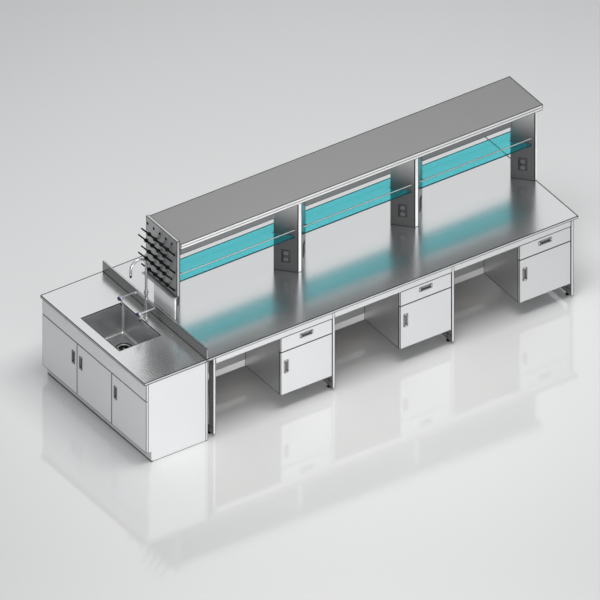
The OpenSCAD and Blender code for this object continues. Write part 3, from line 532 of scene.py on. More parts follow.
def dressFrames():
    f = frameForm
    low, high = (np.array(corner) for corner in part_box("leg_frames"))
    pitch = float(high[0] - low[0] - f["wide"] * mm) / (f["count"] - 1)
    first = (float(low[0]), float(low[0]) + f["wide"] * mm)
    steel = brushedSteel("frameSteel", "frame")
    # Painted shade on each frame's side that faces the sink
    steel.paint(steel.wrapped(first, pitch) < first[0] + f["skin"] * mm, grey(f["sideTone"]))
    for inset in (0, f["high"] * mm):
        planes = boxPlanes(low + inset, high - inset)
        steel.line("frames", dict(planes, X=first), pitch)
    dress("leg_frames", steel, f["rounding"])
    steel = brushedSteel("railSteel", "rail")
    steel.line("frames", nodePlanes("bench_rails"))
    dress("bench_rails", steel, f["rounding"])
    for side in ("front", "rear"):
        low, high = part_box(side + "_carcasses")
        steel = brushedSteel(side + "CarcassSteel", "shade")
        planes = dict(boxPlanes(low, high), X=(low[0], low[0] + f["carcass"] * mm))
        steel.line("carcass", planes, pitch)
        dress(side + "_carcasses", steel)
    dress("service_panels", brushedSteel("servicePanelsSteel", "shade"))


# Millimetres, and the tones of the painted light on the upper part, on the noses and on the first column's
# outer side
columnForm = {"at": (0, 1218, 2353, 3520), "wide": 311, "deep": 300, "nose": 34, "paleFrom": 1140,
              "paleTone": 0.68, "pale": 0.9, "noseTone": 0.95, "noseSkin": 1.5, "outerSkin": 2, "outer": 0.85,
              "foot": 4, "metallic": (0.8, 0.7), "rounding": 0.5}


def dressColumns():
    f = columnForm
    low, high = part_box("shelf_columns")
    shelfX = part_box("top_shelf")[0][0]
    steel = brushedSteel("columnSteel", "column")
    # Painted light: the slanting faces grow paler towards the top
    lift = steel.between(steel.axis("Z"), f["paleFrom"] * mm, high[2], 0.0, f["pale"])
    steel.paint(lift, grey(f["paleTone"]))
    onNose = steel.distance(steel.axis("Y")) > (f["deep"] / 2 - f["noseSkin"]) * mm
    outer = steel.axis("X") < low[0] + f["outerSkin"] * mm
    shiny, less = f["metallic"]
    steel.set(Metallic=shiny - steel.most(onNose, outer) * less)
    # Painted light on the noses and on the first column's outer side
    steel.paint(steel.most(onNose, outer * f["outer"]), grey(f["noseTone"]))
    # Painted shade: dark lines where a nose meets the slanting faces, and round the foot
    nearest = None
    for at in f["at"]:
        gap = steel.distance(steel.axis("X") - (shelfX + at * mm))
        nearest = gap if nearest is None else steel.least(nearest, gap)
    noseEdge = steel.distance(nearest - f["nose"] / 2 * mm) < lineWide["fold"] * mm
    steel.paint(steel.most(steel.axis("Z") < low[2] + f["foot"] * mm, noseEdge))
    dress("shelf_columns", steel, f["rounding"])


# Tones of the satin top, the brushed edges and the underside, and in millimetres how deep their skins reach;
# metallic and roughness are the edges' value and how the top differs
shelfForm = {"top": 0.215, "topSwing": 0.08, "edges": (0.68, 0.86), "underside": 0.16, "topSkin": 0.7,
             "underSkin": 0.8, "patch": 2, "metallic": (0.4, -0.3), "rough": (0.36, 0.14), "relief": 0.12,
             "rounding": 0.5}


def dressTopShelf():
    f = shelfForm
    low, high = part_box("top_shelf")
    finish = Finish("shelfSteel")
    lines = finish.noise((brush["long"], brush["short"], brush["short"]), 1, 3)
    cloud = finish.noise((1, 1, 1), f["patch"], 3)
    top = finish.axis("Z") > high[2] - f["topSkin"] * mm
    edge = finish.mix(lines, *(grey(tone) for tone in f["edges"]))
    # Painted shade: the underside is painted dark
    edge = finish.mix(finish.axis("Z") < low[2] + f["underSkin"] * mm, edge, grey(f["underside"]))
    dark, light = (grey(f["top"] * (1 + swing)) for swing in (-f["topSwing"], f["topSwing"]))
    satin = finish.mix(lines * 0.5 + cloud * 0.5, dark, light)
    (metallic, metallicStep), (rough, roughStep) = f["metallic"], f["rough"]
    finish.set(Base_Color=finish.mix(top, edge, satin), Metallic=top * metallicStep + metallic)
    finish.set(Roughness=lines * brush["rough"][0] + top * roughStep + rough)
    finish.bump(lines, f["relief"])
    planes = nodePlanes("top_shelf")
    finish.line("tops", planes)
    farLines(finish, low, high)
    # A painted shadow line half way up its edges, where the shelf's two pans meet
    fold = dict(planes, Z=(sum(planes["Z"]) / 2,))
    finish.line("fold", fold)
    dress("top_shelf", finish, f["rounding"])


# The glass, and the guard rods: their radius in millimetres, the line across them square to the main view,
# and how far out along it their painted shade starts
glassForm = {"colours": ((0.14, 0.90, 0.99, 1), (0.16, 0.94, 1.0, 1)), "edge": (0.01, 0.12, 0.16, 1),
             "fixed": {"IOR": 1.3, "Transmission_Weight": 0.82}, "rounding": 1.0}
rodForm = {"radius": 5, "across": (-0.646, 0.763), "darkFrom": 0.6, "tone": 0.05}


def dressGlass():
    # Tinted sheet glass: mostly clear, with a little of its own cyan body colour
    finish = Finish("cyanGlass", **glassForm["fixed"])
    cloud = finish.noise((1, 1, 1), 3)
    finish.set(Base_Color=finish.mix(cloud, *glassForm["colours"]), Roughness=cloud * 0.02 + 0.02)
    # Painted shade lines along the glass edges, in a dark teal
    finish.line("glass", nodePlanes("glass_shelves"), colour=glassForm["edge"])
    dress("glass_shelves", finish, glassForm["rounding"])


def dressRods():
    # Painted shade: a dark line along each rod's upper and lower flank, as seen in the main view: the
    # distance from its axis, square to that view
    low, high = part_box("guard_rails")
    radius = rodForm["radius"] * mm
    finish = plainFinish("rodSteel", (0.66, 0.67, 0.68), 0.4, 0.5, 500, 0.05, 0.04)
    side = finish.distance(finish.axis("Y")) + (low[1] + radius)
    up = finish.axis("Z") - (high[2] - radius)
    flank = side * rodForm["across"][0] + up * rodForm["across"][1]
    finish.paint(finish.distance(flank) > radius * rodForm["darkFrom"], grey(rodForm["tone"]))
    dress("guard_rails", finish)


def chipboardFinish():
    # Chips of three browns
    finish = Finish("chipboard")
    chips = finish.node("ShaderNodeTexVoronoi", None, {"Vector": finish.place, "Scale": 260.0}, out="Color")
    tone = finish.node("ShaderNodeSeparateColor", None, {0: chips}, out="Red")
    stops = [(0.0, (0.30, 0.20, 0.11, 1)), (0.5, (0.48, 0.34, 0.20, 1)), (1.0, (0.60, 0.45, 0.28, 1))]
    colour = finish.node("ShaderNodeValToRGB", {"stops": stops}, {"Fac": tone}, out="Color")
    finish.set(Base_Color=colour, Roughness=tone * 0.1 + 0.75)
    return finish.bump(tone, 0.3, 0.0004)


def dressRest():
    lined = (("spine_panel", "spine", "frames", 0.8), ("pegboard", "board", "tops", 0.5))
    for node, kind, width, rounding in lined:
        steel = brushedSteel(kind + "Steel", kind)
        steel.line(width, nodePlanes(node))
        dress(node, steel, rounding)
    dress("drip_trough", plainFinish("troughSteel", (0.5, 0.51, 0.52), 0.36, 0.8, 500, 0.05, 0.06))
    dress("core_boards", chipboardFinish())
    dress("drawer_runners", zinc)
    dress("hinge_pins", zinc)
    dress("sink_waste", plainFinish("wasteMetal", (0.74, 0.75, 0.76), 0.26, 0.9, 400, 0.08, 0.1))


dressFronts()
dressTops()
dressSinkCabinet()
dressFrames()
dressColumns()
dressTopShelf()
dressGlass()
dressRods()
dressRest()
print("CAD nodes dressed")


# Recessed pulls: length, width and corner of the flange and of the slot; colours of the plate and the cup,
# the cup's darker as painted shade, and the sink's both darker as painted shade

pullForm = {"flange": (130, 47, 10), "slot": (92, 26, 6), "thick": 1.5, "depth": 13, "wall": 1.2,
            "sink": ((0.34, 0.34, 0.35), 0.05), "bench": ((0.55, 0.55, 0.56), 0.22)}


def pullFinish(node, low, high, u, v):
    # Pale plate, painted darker in the cup as painted shade, with painted shade lines round the plate and
    # round the slot
    # The pulls on the sink are painted darker as painted shade
    plate, cup = pullForm["sink" if node.startswith("sink") else "bench"]
    finish = plainFinish(node + "Metal", plate, 0.4, 0.5, 800, 0.1, 0.1)
    middle = (low + high) / 2
    half = (high - low) / 2 - np.abs(u) * (pullForm["flange"][0] - pullForm["slot"][0]) / 2
    half -= np.abs(v) * (pullForm["flange"][1] - pullForm["slot"][1]) / 2
    inside = None
    for axis, name in enumerate("XYZ"):
        if abs(u[axis]) + abs(v[axis]) > 0.5:
            near = finish.distance(finish.axis(name) - float(middle[axis] * mm)) < float(half[axis] * mm)
            inside = near if inside is None else inside * near
    finish.paint(inside, grey(cup))
    for planes in (boxPlanes(low * mm, high * mm), boxPlanes((middle - half) * mm, (middle + half) * mm)):
        finish.line("pull", planes)
    return finish


def recessedPull(node, outwards):
    # A closed shell of rounded rectangles: over the flange, down the cup and back up behind it
    low, high = boxOf(node)
    w = np.array(outwards, float)
    u = np.eye(3)[int(np.argmax(high - low))]
    v = np.cross(w, u)
    centre = (low + high) / 2
    face = float(((high if w.sum() > 0 else low) * w).sum())
    origin = centre + w * (face - pullForm["thick"] - (centre * w).sum())
    (fl, fw, fr), (sl, sw, sr) = pullForm["flange"], pullForm["slot"]
    t, d, s = pullForm["thick"], pullForm["depth"], pullForm["wall"]
    rows = [
        (0, 0, 0, -d - s), (sl - 6, sw - 6, sr, -d - s), (sl + 2 * s - 2, sw + 2 * s - 2, sr, -d - s + 0.4),
        (sl + 2 * s, sw + 2 * s, sr + s, -d + 1), (sl + 2 * s, sw + 2 * s, sr + s, 0), (fl, fw, fr, 0),
        (fl, fw, fr, t - 0.8), (fl - 0.5, fw - 0.5, fr, t - 0.25), (fl - 1.6, fw - 1.6, fr, t),
        (fl - 7, fw - 5, fr - 2, t), (fl - 8, fw - 6, fr - 2, t - 0.5), (sl + 9, sw + 7, sr + 3, t - 0.5),
        (sl + 7, sw + 5.5, sr + 2, t), (sl + 2, sw + 2, sr + 1, t - 0.1), (sl + 0.5, sw + 0.5, sr, t - 0.7),
        (sl, sw, sr, t - 1.6), (sl, sw, sr, -d + 3), (sl - 1, sw - 1, sr, -d + 1), (sl - 4, sw - 4, sr, -d),
        (0, 0, 0, -d),
    ]
    shape = Shape()
    stacked(shape, rows, origin, u, v, w, 7)
    shape.piece(node + "Cup", pullFinish(node, low, high, u, v), node)


for name in [n for n in nodes if "_pull_" in n]:
    low, high = boxOf(name)
    facing = (-1, 0, 0) if name.startswith("sink") else (0, math.copysign(1, low[1] + high[1]), 0)
    recessedPull(name, facing)
print("pulls made")


# Sink bowl, pressed from one sheet: its floor falls to a drain that stands off the middle. Shine is how wide
# the painted highlights on the corners are, in corner radii, and how bright; the dark ring lies round the
# flat

bowlForm = {"size": (424, 556), "middle": (-1820, 20), "top": 774.8, "depth": 268, "fall": 8, "corner": 16,
            "rim": 12, "sheet": 1.2, "drain": (93, 89), "flat": 66, "hole": 50.4, "shine": (1.3, 0.6),
            "darkRing": (-1, 5)}


def bowlFloor(x, y):
    # The fall is the lower of two tents, one along each side, whose ridges point at the drain
    (w, l), (dx, dy) = bowlForm["size"], bowlForm["drain"]
    foot = bowlForm["corner"] + 2
    reachX, reachY = w / 2 - foot, l / 2 - foot
    tentX = np.where(x < dx, (x + reachX) / (dx + reachX), (reachX - x) / (reachX - dx))
    tentY = np.where(y < dy, (y + reachY) / (dy + reachY), (reachY - y) / (reachY - dy))
    return -bowlForm["fall"] * np.clip(np.minimum(tentX, tentY), 0, 1)


def bowlFinish():
    # Painted highlights along the pressed corners, and a bright flange with a dark line round the drain
    f = bowlForm
    (x, y), (w, l), (dx, dy) = f["middle"], f["size"], f["drain"]
    steel = brushedSteel("bowlSteel", "bowl")
    low = np.array([x - w / 2, y - l / 2, f["top"] - f["depth"]]) * mm
    aboveAll = f["top"] + 500
    high = np.array([x + w / 2, y + l / 2, aboveAll]) * mm
    wide, bright = f["shine"]
    steel.paint(steel.nearEdges(f["corner"] * wide, boxPlanes(low, high)) * bright, grey(1.0))
    offX, offY = steel.axis("X") - (x + dx) * mm, steel.axis("Y") - (y + dy) * mm
    fromDrain = steel.math("SQRT", offX * offX + offY * offY)
    inner, outer = (f["flat"] + past for past in f["darkRing"])
    steel.paint(fromDrain < outer * mm)
    return steel.paint(fromDrain < inner * mm, grey(1.0))


def pressedBowl():
    # Rings from the rim down the walls, round the bottom edge and over the floor to the drain's hole
    f = bowlForm
    w, l = f["size"]
    (cx, cy), (dx, dy), r, depth = f["middle"], f["drain"], f["corner"], f["depth"]
    rim = 2 * f["rim"]
    rows = [(w + rim, l + rim, r + 6, 0), (w + 4, l + 4, r + 2, 0), (w + 1, l + 1, r + 0.5, -0.6)]
    rows += [(w, l, r, -2.5), (w, l, r, -depth / 2), (w, l, r, r - depth)]
    for a in np.linspace(0, np.pi / 2, 9)[1:]:
        inset = 2 * r * (1 - math.cos(a))
        rows.append((w - inset, l - inset, r, r - depth - r * math.sin(a)))
    rings = []
    for width, length, radius, height in rows:
        flat = roundLoop(width, length, min(radius, r + 1), 9, 30)
        rings.append(np.column_stack([flat, np.full(len(flat), height)]))
    edge = rings[-1][:, :2]
    out = edge - (dx, dy)
    ring = out / np.linalg.norm(out, axis=1)[:, None]
    for t in np.linspace(0, 1, 26)[1:]:
        flat = edge + (ring * f["flat"] + (dx, dy) - edge) * t
        rings.append(np.column_stack([flat, -depth + bowlFloor(*flat.T)]))
    for radius in (f["flat"] - 1, f["flat"] - 2, f["hole"]):
        flat = ring * radius + (dx, dy)
        rings.append(np.column_stack([flat, np.full(len(flat), -depth - f["fall"])]))
    shape = Shape()
    shape.grid(np.stack(rings) + (cx, cy, f["top"]))
    bowl = shape.piece("pressedBowl", bowlFinish(), "sink_bowl")
    sheetWall(bowl, f["sheet"], -1 if bowl.data.polygons[0].normal.z > 0 else 1)


# Lift-out strainer: a cup with slots and a rolled rim, and a knob, both as radius and height

strainerForm = {"at": (-1727, 109, 498.8), "slots": 18, "slotRings": (1, 3, 5, 8, 9), "sheet": 0.9,
                "brightFrom": -1, "brightTone": 0.75,
                "cup": [(8, -26), (14, -26), (20, -26), (26, -26), (32, -26), (38, -26), (43.5, -26),
                        (45, -24), (45, -18), (45, -12), (45, -6), (45, 1), (45.5, 2.9), (47, 3.9),
                        (49.5, 3.9), (51, 3.3)],
                "knob": [(0, -26.4), (8.6, -26.4), (8.6, -24.6), (4.2, -23), (4.2, -10), (9, -6), (9, -1),
                         (0, -0.2)]}


def strainer():
    # The cup's line turned into a polar grid; the slots are cells of the grid left out
    f = strainerForm
    count = f["slots"] * 4
    shape = Shape()
    turned(shape, f["cup"], f["at"], (0, 0, 1), count)
    quads = shape.faces[-1].reshape(len(f["cup"]) - 1, count, 4)
    kept = np.ones(quads.shape[:2], bool)
    for ring in f["slotRings"]:
        kept[ring, np.arange(count) % 4 < 2] = False
    shape.faces[-1] = quads[kept]
    # The basket is painted near black as painted shade in the drain, and pale from its rim up
    basket = plainFinish("strainerMetal", (0.06, 0.06, 0.062), 0.3, 0.8, 500, 0.06, 0.1)
    basket.paint(basket.axis("Z") > (f["at"][2] + f["brightFrom"]) * mm, grey(f["brightTone"]))
    cup = shape.piece("strainerCup", basket, "basket_strainer", crease=50)
    sheetWall(cup, f["sheet"], 0)
    handle = Shape()
    turned(handle, eased(f["knob"], 2), f["at"], (0, 0, 1), 28)
    handle.piece("strainerKnob", zinc, "basket_strainer", stands=False)


pressedBowl()
strainer()
print("sink made")


# Three-way tap. The profiles are radius and distance along their own axis; a tip is height, wide and narrow

tapForm = {"at": (-1573.2, 20, 800.2), "top": 515, "reach": 150, "outlet": 445, "pipe": 11,
           "armUp": 168, "armSide": 135, "armReach": 150, "arm": 8, "bend": 25, "knobOut": 14.2,
           "foot": [(0, 0), (28, 0), (28, 5), (25, 8.5), (19, 10), (17, 14), (13, 18), (13, 60)],
           "upright": [(13, 60), (14.6, 61), (14.6, 65), (13, 66), (13, 150), (17, 152), (17, 184), (13, 186),
                       (13, 226), (16, 229), (16, 232), (20, 234), (20, 247), (18, 249), (8, 249),
                       (8, 236), (0, 236)],
           "armNut": [(0, 12), (11, 12), (11, 18), (9, 22), (0, 22)],
           "bonnet": [(0, -14), (9, -14), (11, -11), (13, -8), (13, 6), (11, 8), (11, 10), (9.5, 12),
                      (9.5, 14), (4, 15), (4, 26), (0, 26)],
           "spigot": [(0, 0), (7, 0), (7, 14), (8.4, 15), (8.4, 20), (7, 21), (7, 44), (8, 45), (8, 50),
                      (7, 52), (0, 52)],
           "neckNut": [(0, 249.3), (16, 249.3), (16.5, 252), (16.5, 262), (14, 266), (11.6, 267), (11.6, 270),
                       (11, 271), (0, 271)],
           "neckRoot": [(0, 233.4), (6.9, 233.4), (6.9, 250), (0, 250)],
           "lip": [(0, 470), (11.8, 470), (11.8, 478), (11, 480), (0, 480)],
           "neckTip": (24.8, 11, 7.6), "armTip": (21.8, 7, 4.9), "armTipDown": 74,
           "knob": [(5, 11.6), (5, 0), (13, 0), (18, 3), (19, 8), (18.4, 14), (14, 17), (8, 16.6), (7, 15.4),
                    (0, 15.4)]}


def tapBody(base):
    f = tapForm
    upAxis = (0, 0, 1)
    body = Shape()
    turned(body, np.concatenate([eased(f["foot"], 1.6), eased(f["upright"], 1.4)]), base, upAxis, 40)
    for side in (1, -1):
        # The arm leaves the body sideways and turns forward on a quarter circle
        r, reach, out = f["bend"], f["armReach"], f["armSide"]
        angle = np.linspace(0, np.pi / 2, 14)
        arc = np.column_stack([-r + r * np.cos(angle), (out - r + r * np.sin(angle)) * side, angle * 0])
        ends = [(-60, out * side, 0), (-reach + 8, out * side, 0)]
        path = np.concatenate([[(0, 10 * side, 0), (0, 40 * side, 0)], arc, ends])
        tube(body, path + base + (0, 0, f["armUp"]), f["arm"], upAxis, 22)
        turned(body, eased(f["armNut"], 1.2), base + (0, 0, f["armUp"]), (0, side, 0), 6)
        valve = base + (-reach, out * side, f["armUp"])
        turned(body, eased(f["bonnet"], 1.0), valve, (-1, 0, 0), 32)
        turned(body, eased(f["spigot"], 0.8), valve, (0, 0, -1), 28)
    body.piece("tapBody", chrome, "tap_body")


def gooseneck(base):
    # A straight rise, half a circle and a short drop
    f = tapForm
    upAxis = (0, 0, 1)
    spout = Shape()
    half = f["reach"] / 2
    angle = np.linspace(0, np.pi, 40)
    arc = np.column_stack([-half + half * np.cos(angle), angle * 0, f["top"] + half * np.sin(angle)])
    rise, drop = [(0, 0, 249.4), (0, 0, 300), (0, 0, 400)], [(-f["reach"], 0, f["outlet"] + 25)]
    path = np.concatenate([rise, arc, drop])
    tube(spout, path + base, f["pipe"], (0, 1, 0), 28)
    turned(spout, eased(f["neckNut"], 1), base, upAxis, 36)
    turned(spout, eased(f["lip"], 0.8), base + (-f["reach"], 0, 0), upAxis, 28)
    turned(spout, f["neckRoot"], base, upAxis, 24)
    spout.piece("gooseneck", chrome, "tap_gooseneck")


def barbedTip(shape, at, high, wide, narrow, barbs=4):
    # A hose tip: a taper with ridges, each a slow rise and a sharp fall
    z = np.linspace(0, 1, barbs * 6 + 1)
    ridge = ((z * barbs) % 1.0) ** 2 * 0.14 * wide
    radius = np.minimum(narrow + (wide - narrow) * z + ridge * (z < 0.86), wide)
    profile = [(0, 0), (narrow * 0.6, 0), (narrow * 0.6, 0)] + list(zip(radius, z * high)) + [(0, high)]
    turned(shape, profile, at, (0, 0, 1), 28)


def hoseTips(base):
    f = tapForm
    tip = Shape()
    barbedTip(tip, base + (-f["reach"], 0, f["outlet"]), *f["neckTip"])
    tip.piece("gooseneckHoseTip", blackRubber, "gooseneck_tip")
    tips = Shape()
    for side in (1, -1):
        end = base + (-f["armReach"], f["armSide"] * side, f["armUp"] - f["armTipDown"])
        barbedTip(tips, end, *f["armTip"])
    tips.piece("armHoseTips", blackRubber, "side_tips")


def sixLobes(angle):
    # The radius dips by a rounded cosine between six lobes
    return 1 - 0.13 * np.clip(0.5 - 0.5 * np.cos(6 * angle), 0, 1) ** 1.5


def knobs(base):
    f = tapForm
    profile = np.concatenate([[(0, 11.6)], eased(f["knob"], 1.6)])
    for side, name, node in ((1, "knobLeft", "tap_knob_left"), (-1, "knobRight", "tap_knob_right")):
        knob = Shape()
        at = base + (-f["armReach"] - f["knobOut"], f["armSide"] * side, f["armUp"])
        turned(knob, profile, at, (-1, 0, 0), 72, sixLobes)
        knob.piece(name, navyPlastic, node)


for makePart in (tapBody, gooseneck, hoseTips, knobs):
    makePart(np.array(tapForm["at"]))
print("tap made")


# Pegs: a collar on the board, a leaning stem with a bulb half way and a round tip. Ring is the top row's

pegForm = {"pitch": 87, "rows": 5, "perRow": 4, "drop": 62, "mid": 18.5, "long": 231, "lean": 40.5,
           "stem": 7.6, "tip": 6.2, "bulb": 17, "bulbLong": 20, "bulbAt": 0.49,
           "collar": [(0, -14), (5.4, -14), (5.4, 0), (9, 0), (9, 1.8), (7.4, 3), (0, 6)],
           "ring": [(4.2, -3.4), (5.6, -3.4), (5.6, 0.15), (12.6, 0.15), (12.6, 1.6), (10, 2.6), (5, 2.6),
                    (4.2, 1.2), (4.2, -3.4)]}


def pegSide(i, shift):
    # Pegs stand in the middle of the board, and every other row is half a pitch along
    return (i + shift - pegForm["perRow"] / 2) * pegForm["pitch"] - pegForm["mid"]


def pegPlaces():
    low, high = boxOf("pegboard")
    f = pegForm
    for row in range(1, f["rows"] + 1):
        for i in range(f["perRow"]):
            y = pegSide(i, 0 if row % 2 else 0.5)
            yield np.array([low[0] - 0.2, y, high[2] - f["drop"] - row * f["pitch"]])


def pegSet():
    # Points along the stem, close together over the bulb
    f = pegForm
    spans = ((0, 88, 8), (92, 135, 26), (140, f["long"] - f["tip"], 8))
    s = np.concatenate([np.linspace(*span) for span in spans])
    stem = f["stem"] + (f["tip"] - f["stem"]) * s / f["long"]
    ball = f["bulb"] * np.sqrt(np.clip(1 - ((s - f["long"] * f["bulbAt"]) / f["bulbLong"]) ** 2, 0, None))
    # The bulb flows into the stem: the fourth root of the sum of fourth powers
    radius = (stem ** 4 + ball ** 4) ** 0.25
    cap = np.linspace(0, np.pi / 2, 7)[1:]
    tipRow = np.column_stack([f["tip"] * np.cos(cap), f["long"] - f["tip"] + f["tip"] * np.sin(cap)])
    profile = np.concatenate([[(0, -4), (f["stem"], -4)], np.column_stack([radius, s]), tipRow])
    lean = math.radians(f["lean"])
    shape = Shape()
    for at in pegPlaces():
        turned(shape, profile, at, (-math.sin(lean), 0, math.cos(lean)), 20)
        turned(shape, eased(f["collar"], 0.8), at, (-1, 0, 0), 24)
    shape.piece("pegSet", pegPlastic, "pegs")


def holeRings():
    # The empty top row: a rubber ring in each hole
    f = pegForm
    low, high = boxOf("pegboard")
    rings = Shape()
    for i in range(f["perRow"] + 1):
        turned(rings, eased(f["ring"], 0.5), (low[0], pegSide(i, 0.5), high[2] - f["drop"]), (-1, 0, 0), 24)
    rings.piece("holeRings", pegPlastic, "pegs", stands=False)


pegSet()
holeRings()
print("pegs made")


# Twin sockets on the columns' slanting faces. A slot is its place across and up, its width and its height

socketForm = {"size": (76, 120), "thick": 5, "up": 947, "box": (60.8, 96), "boxDeep": 38,
              "slots": ((-7, 4, 2.6, 9), (7, 4, 2.6, 8), (0, -8, 5.4, 5.4)),
              "face": [(0, 0, 0, -1), (36, 33, 9, -1), (36, 33, 9, 0.5), (34.6, 31.6, 8.4, 1.1),
                       (33, 30, 8, 1.2), (0, 0, 0, 1.2)],
              "screw": [(0, -1), (3.6, -1), (3.6, 0.8), (2, 1.6), (0, 1.6)]}


def slants():
    # Each slanting face's middle, and its directions: along and outwards
    c = columnForm
    shelfX = boxOf("top_shelf")[0][0]
    run = (c["wide"] - c["nose"]) / 2
    slant = math.atan2(c["deep"] / 2, run)
    for i, at in enumerate(c["at"]):
        # The end columns have slanting faces on one side only
        ways = [1] if i == 0 else [-1] if i == len(c["at"]) - 1 else [-1, 1]
        for way in ways:
            for side in (-1, 1):
                turn = (math.pi if side > 0 else 0) - side * way * slant
                along = np.array([math.cos(turn), math.sin(turn), 0])
                outwards = np.array([math.sin(turn), -math.cos(turn), 0])
                middle = np.array([shelfX + at + way * (c["nose"] + run) / 2, side * c["deep"] / 4, 0])
                yield middle, along, outwards


def sockets():
    f = socketForm
    plates, faces, dark = Shape(), Shape(), Shape()
    w, l = f["size"]
    bw, bl = f["box"]
    t = f["thick"] + 0.2
    plate = [(0, 0, 0, -f["boxDeep"]), (bw, bl, 4, -f["boxDeep"]), (bw, bl, 4, 0.2), (w, l, 5, 0.2),
             (w, l, 5, t - 1.6), (w - 1, l - 1, 5, t - 0.6), (w - 3.4, l - 3.4, 4.4, t), (0, 0, 0, t)]
    up = np.array([0, 0, 1.0])
    for middle, along, outwards in slants():
        at = middle + (0, 0, f["up"])
        stacked(plates, plate, at, along, up, outwards, 6)
        for shift in (-1, 1):
            centre = at + up * shift * l / 4 + outwards * t
            stacked(faces, f["face"], centre, along, up, outwards, 6)
            for dx, dz, sw, sl in f["slots"]:
                r = 0.8 if sw < 5 else 2.6
                slot = [(0, 0, 0, 0.6), (sw, sl, r, 0.6), (sw, sl, r, 1.5), (0, 0, 0, 1.5)]
                stacked(dark, slot, centre + along * dx + up * dz, along, up, outwards, 5)
        turned(faces, eased(f["screw"], 0.5), at + outwards * t, outwards, 16)
    plates.piece("socketPlates", socketPlate, "socket_outlets")
    faces.piece("socketFaces", socketFace, "socket_outlets", stands=False)
    dark.piece("socketSlots", blackRubber, "socket_outlets", stands=False)


sockets()
print("sockets made")


# Levelling feet: a pad with a rolled rim, a lock nut and a threaded stud, as radius and height

footForm = {"high": 21.8, "inset": 66, "stud": 6, "thread": (8, 0.75, 0.5),
            "pad": [(0, 0), (18.6, 0), (20, 1.6), (20, 4.5), (17.5, 7), (11, 8), (6, 8)],
            "nut": [(0, 11.6), (9.6, 11.6), (10, 12.2), (10, 15.6), (9.6, 16.2), (0, 16.2)]}


def feet():
    # Pad and stud are one turned line, whose radius dips at every other point of the thread
    f = footForm
    low, high = boxOf("leg_frames")
    inFromEnd = frameForm["wide"] / 2
    base, step, deep = f["thread"]
    thread = [(f["stud"] - deep * (i % 2), base + i * step) for i in range(1, 18)]
    padAndStud = np.concatenate([eased(f["pad"], 1.2), thread, [(f["stud"], f["high"]), (0, f["high"])]])
    shape = Shape()
    for x in np.linspace(low[0] + inFromEnd, high[0] - inFromEnd, frameForm["count"]):
        for side in (-1, 1):
            at = np.array([x, side * (high[1] - f["inset"]), 0])
            turned(shape, padAndStud, at, (0, 0, 1), 32)
            turned(shape, eased(f["nut"], 0.4), at, (0, 0, 1), 6)
    shape.piece("levellingFeet", blackRubber, "levelling_feet")


feet()
print("feet made")


# Floor, light and camera

viewForm = {"azimuth": -33.95, "elevation": 35.1, "pixels": 600, "perPixel": 1 / 0.1240,
            "origin": (309.35, 336.6), "far": 20000}
lamps = {"topBox": {"at": (-0.2, -1.6, 8), "towards": (-0.1, -0.6, 0.4), "size": (5, 3), "power": 430},
         "frontBox": {"at": (-4.3, -7.2, 1.2), "towards": (-0.6, -0.7, 0.5), "size": (5, 2), "power": 385}}
lampTint = (1, 0.99, 0.985)
floorForm = {"near": (0.74, 0.743, 0.745, 1), "far": (0.57, 0.572, 0.574, 1), "middle": (1.2, 1.5),
             "paintedFalloff": (2.0, 6.0), "roughness": 0.07, "IOR": 2.0, "reach": 40, "below": 0.0005}
worldForm = {"even": (0.955, 0.98, 1.0, 1), "strength": 0.445, "mirrored": (-1.0, 0.6, 0.18, 1.0),
             "glassDims": 0.38}


def makeCamera():
    # An orthographic camera whose picture holds the bench's origin at the given pixel
    az, el = math.radians(viewForm["azimuth"]), math.radians(viewForm["elevation"])
    right = np.array([math.cos(az), math.sin(az), 0])
    away = np.array([-math.sin(az) * math.cos(el), math.cos(az) * math.cos(el), -math.sin(el)])
    up = np.array([-math.sin(az) * math.sin(el), math.cos(az) * math.sin(el), math.cos(el)])
    camera = bpy.data.objects.new("camera", bpy.data.cameras.new("camera"))
    scene.collection.objects.link(camera)
    camera.data.type = "ORTHO"
    camera.data.ortho_scale = viewForm["pixels"] * viewForm["perPixel"] * mm
    camera.data.clip_end = 100
    dx, dy = ((p - viewForm["pixels"] / 2) * viewForm["perPixel"] for p in viewForm["origin"])
    centre = (-right * dx + up * dy - away * viewForm["far"]) * mm
    camera.matrix_world = Matrix.Translation(centre) @ Matrix((right, up, -away)).transposed().to_4x4()
    scene.camera = camera


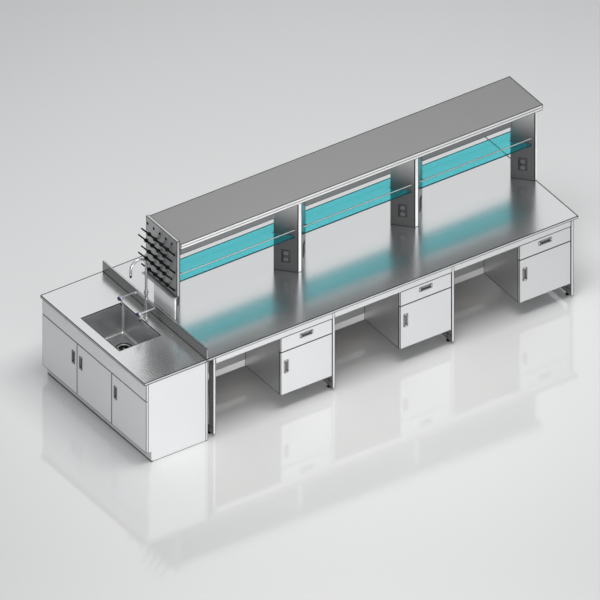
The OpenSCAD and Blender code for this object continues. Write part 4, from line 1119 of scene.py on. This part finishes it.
def makeLamp(name, at, towards, size, power):
    lamp = bpy.data.lights.new(name, "AREA")
    lamp.shape, lamp.size, lamp.size_y = "RECTANGLE", size[0], size[1]
    lamp.energy, lamp.color = power, lampTint
    obj = bpy.data.objects.new(name, lamp)
    scene.collection.objects.link(obj)
    obj.location = at
    obj.rotation_euler = (Vector(towards) - Vector(at)).to_track_quat("-Z", "Y").to_euler()


def makeFloor():
    # A pale glossy floor, a little darker away from the bench: a painted pool of light round the bench
    f = floorForm
    finish = Finish("paleFloor", Roughness=f["roughness"], IOR=f["IOR"])
    x, y = finish.axis("X") - f["middle"][0], finish.axis("Y") - f["middle"][1]
    far = finish.math("SQRT", x * x + y * y)
    finish.set(Base_Color=finish.mix(finish.between(far, *f["paintedFalloff"], 0.0, 1.0), f["near"], f["far"]))
    reach = f["reach"]
    corners = [(-reach, -reach, 0), (reach, -reach, 0), (reach, reach, 0), (-reach, reach, 0)]
    mesh = bpy.data.meshes.new("floor")
    mesh.from_pydata(corners, [], [(0, 1, 2, 3)])
    mesh.materials.append(finish.material)
    floor = bpy.data.objects.new("floor", mesh)
    scene.collection.objects.link(floor)
    floor.location.z = -f["below"]


def makeWorld():
    # Even light for matt surfaces; what metal and glass mirror is brighter towards the end away from the sink
    world = bpy.data.worlds.new("studio")
    scene.world = world
    world.use_nodes = True
    sky = NodeTree(world.node_tree)
    direction = sky.node("ShaderNodeTexCoord", out="Generated")
    across = sky.node("ShaderNodeSeparateXYZ", None, {0: direction}, out="X")
    ramp = sky.between(across, *worldForm["mirrored"], kind="LINEAR")
    # Dimmer where it is seen through the glass
    throughGlass = sky.node("ShaderNodeLightPath", out="Is Transmission Ray")
    isMirrored = sky.node("ShaderNodeLightPath", out="Is Glossy Ray")
    glow = {"Color": ramp, "Strength": 1.0 - throughGlass * worldForm["glassDims"]}
    even = {"Color": worldForm["even"], "Strength": worldForm["strength"]}
    even, glow = (sky.node("ShaderNodeBackground", None, inputs) for inputs in (even, glow))
    chosen = sky.node("ShaderNodeMixShader", None, {0: isMirrored, 1: even, 2: glow})
    sky.feed(world.node_tree.nodes["World Output"].inputs["Surface"], chosen)


makeCamera()
makeFloor()
makeWorld()
for name, lamp in lamps.items():
    makeLamp(name, **lamp)
scene.view_settings.view_transform = "Standard"
print("stage ready")
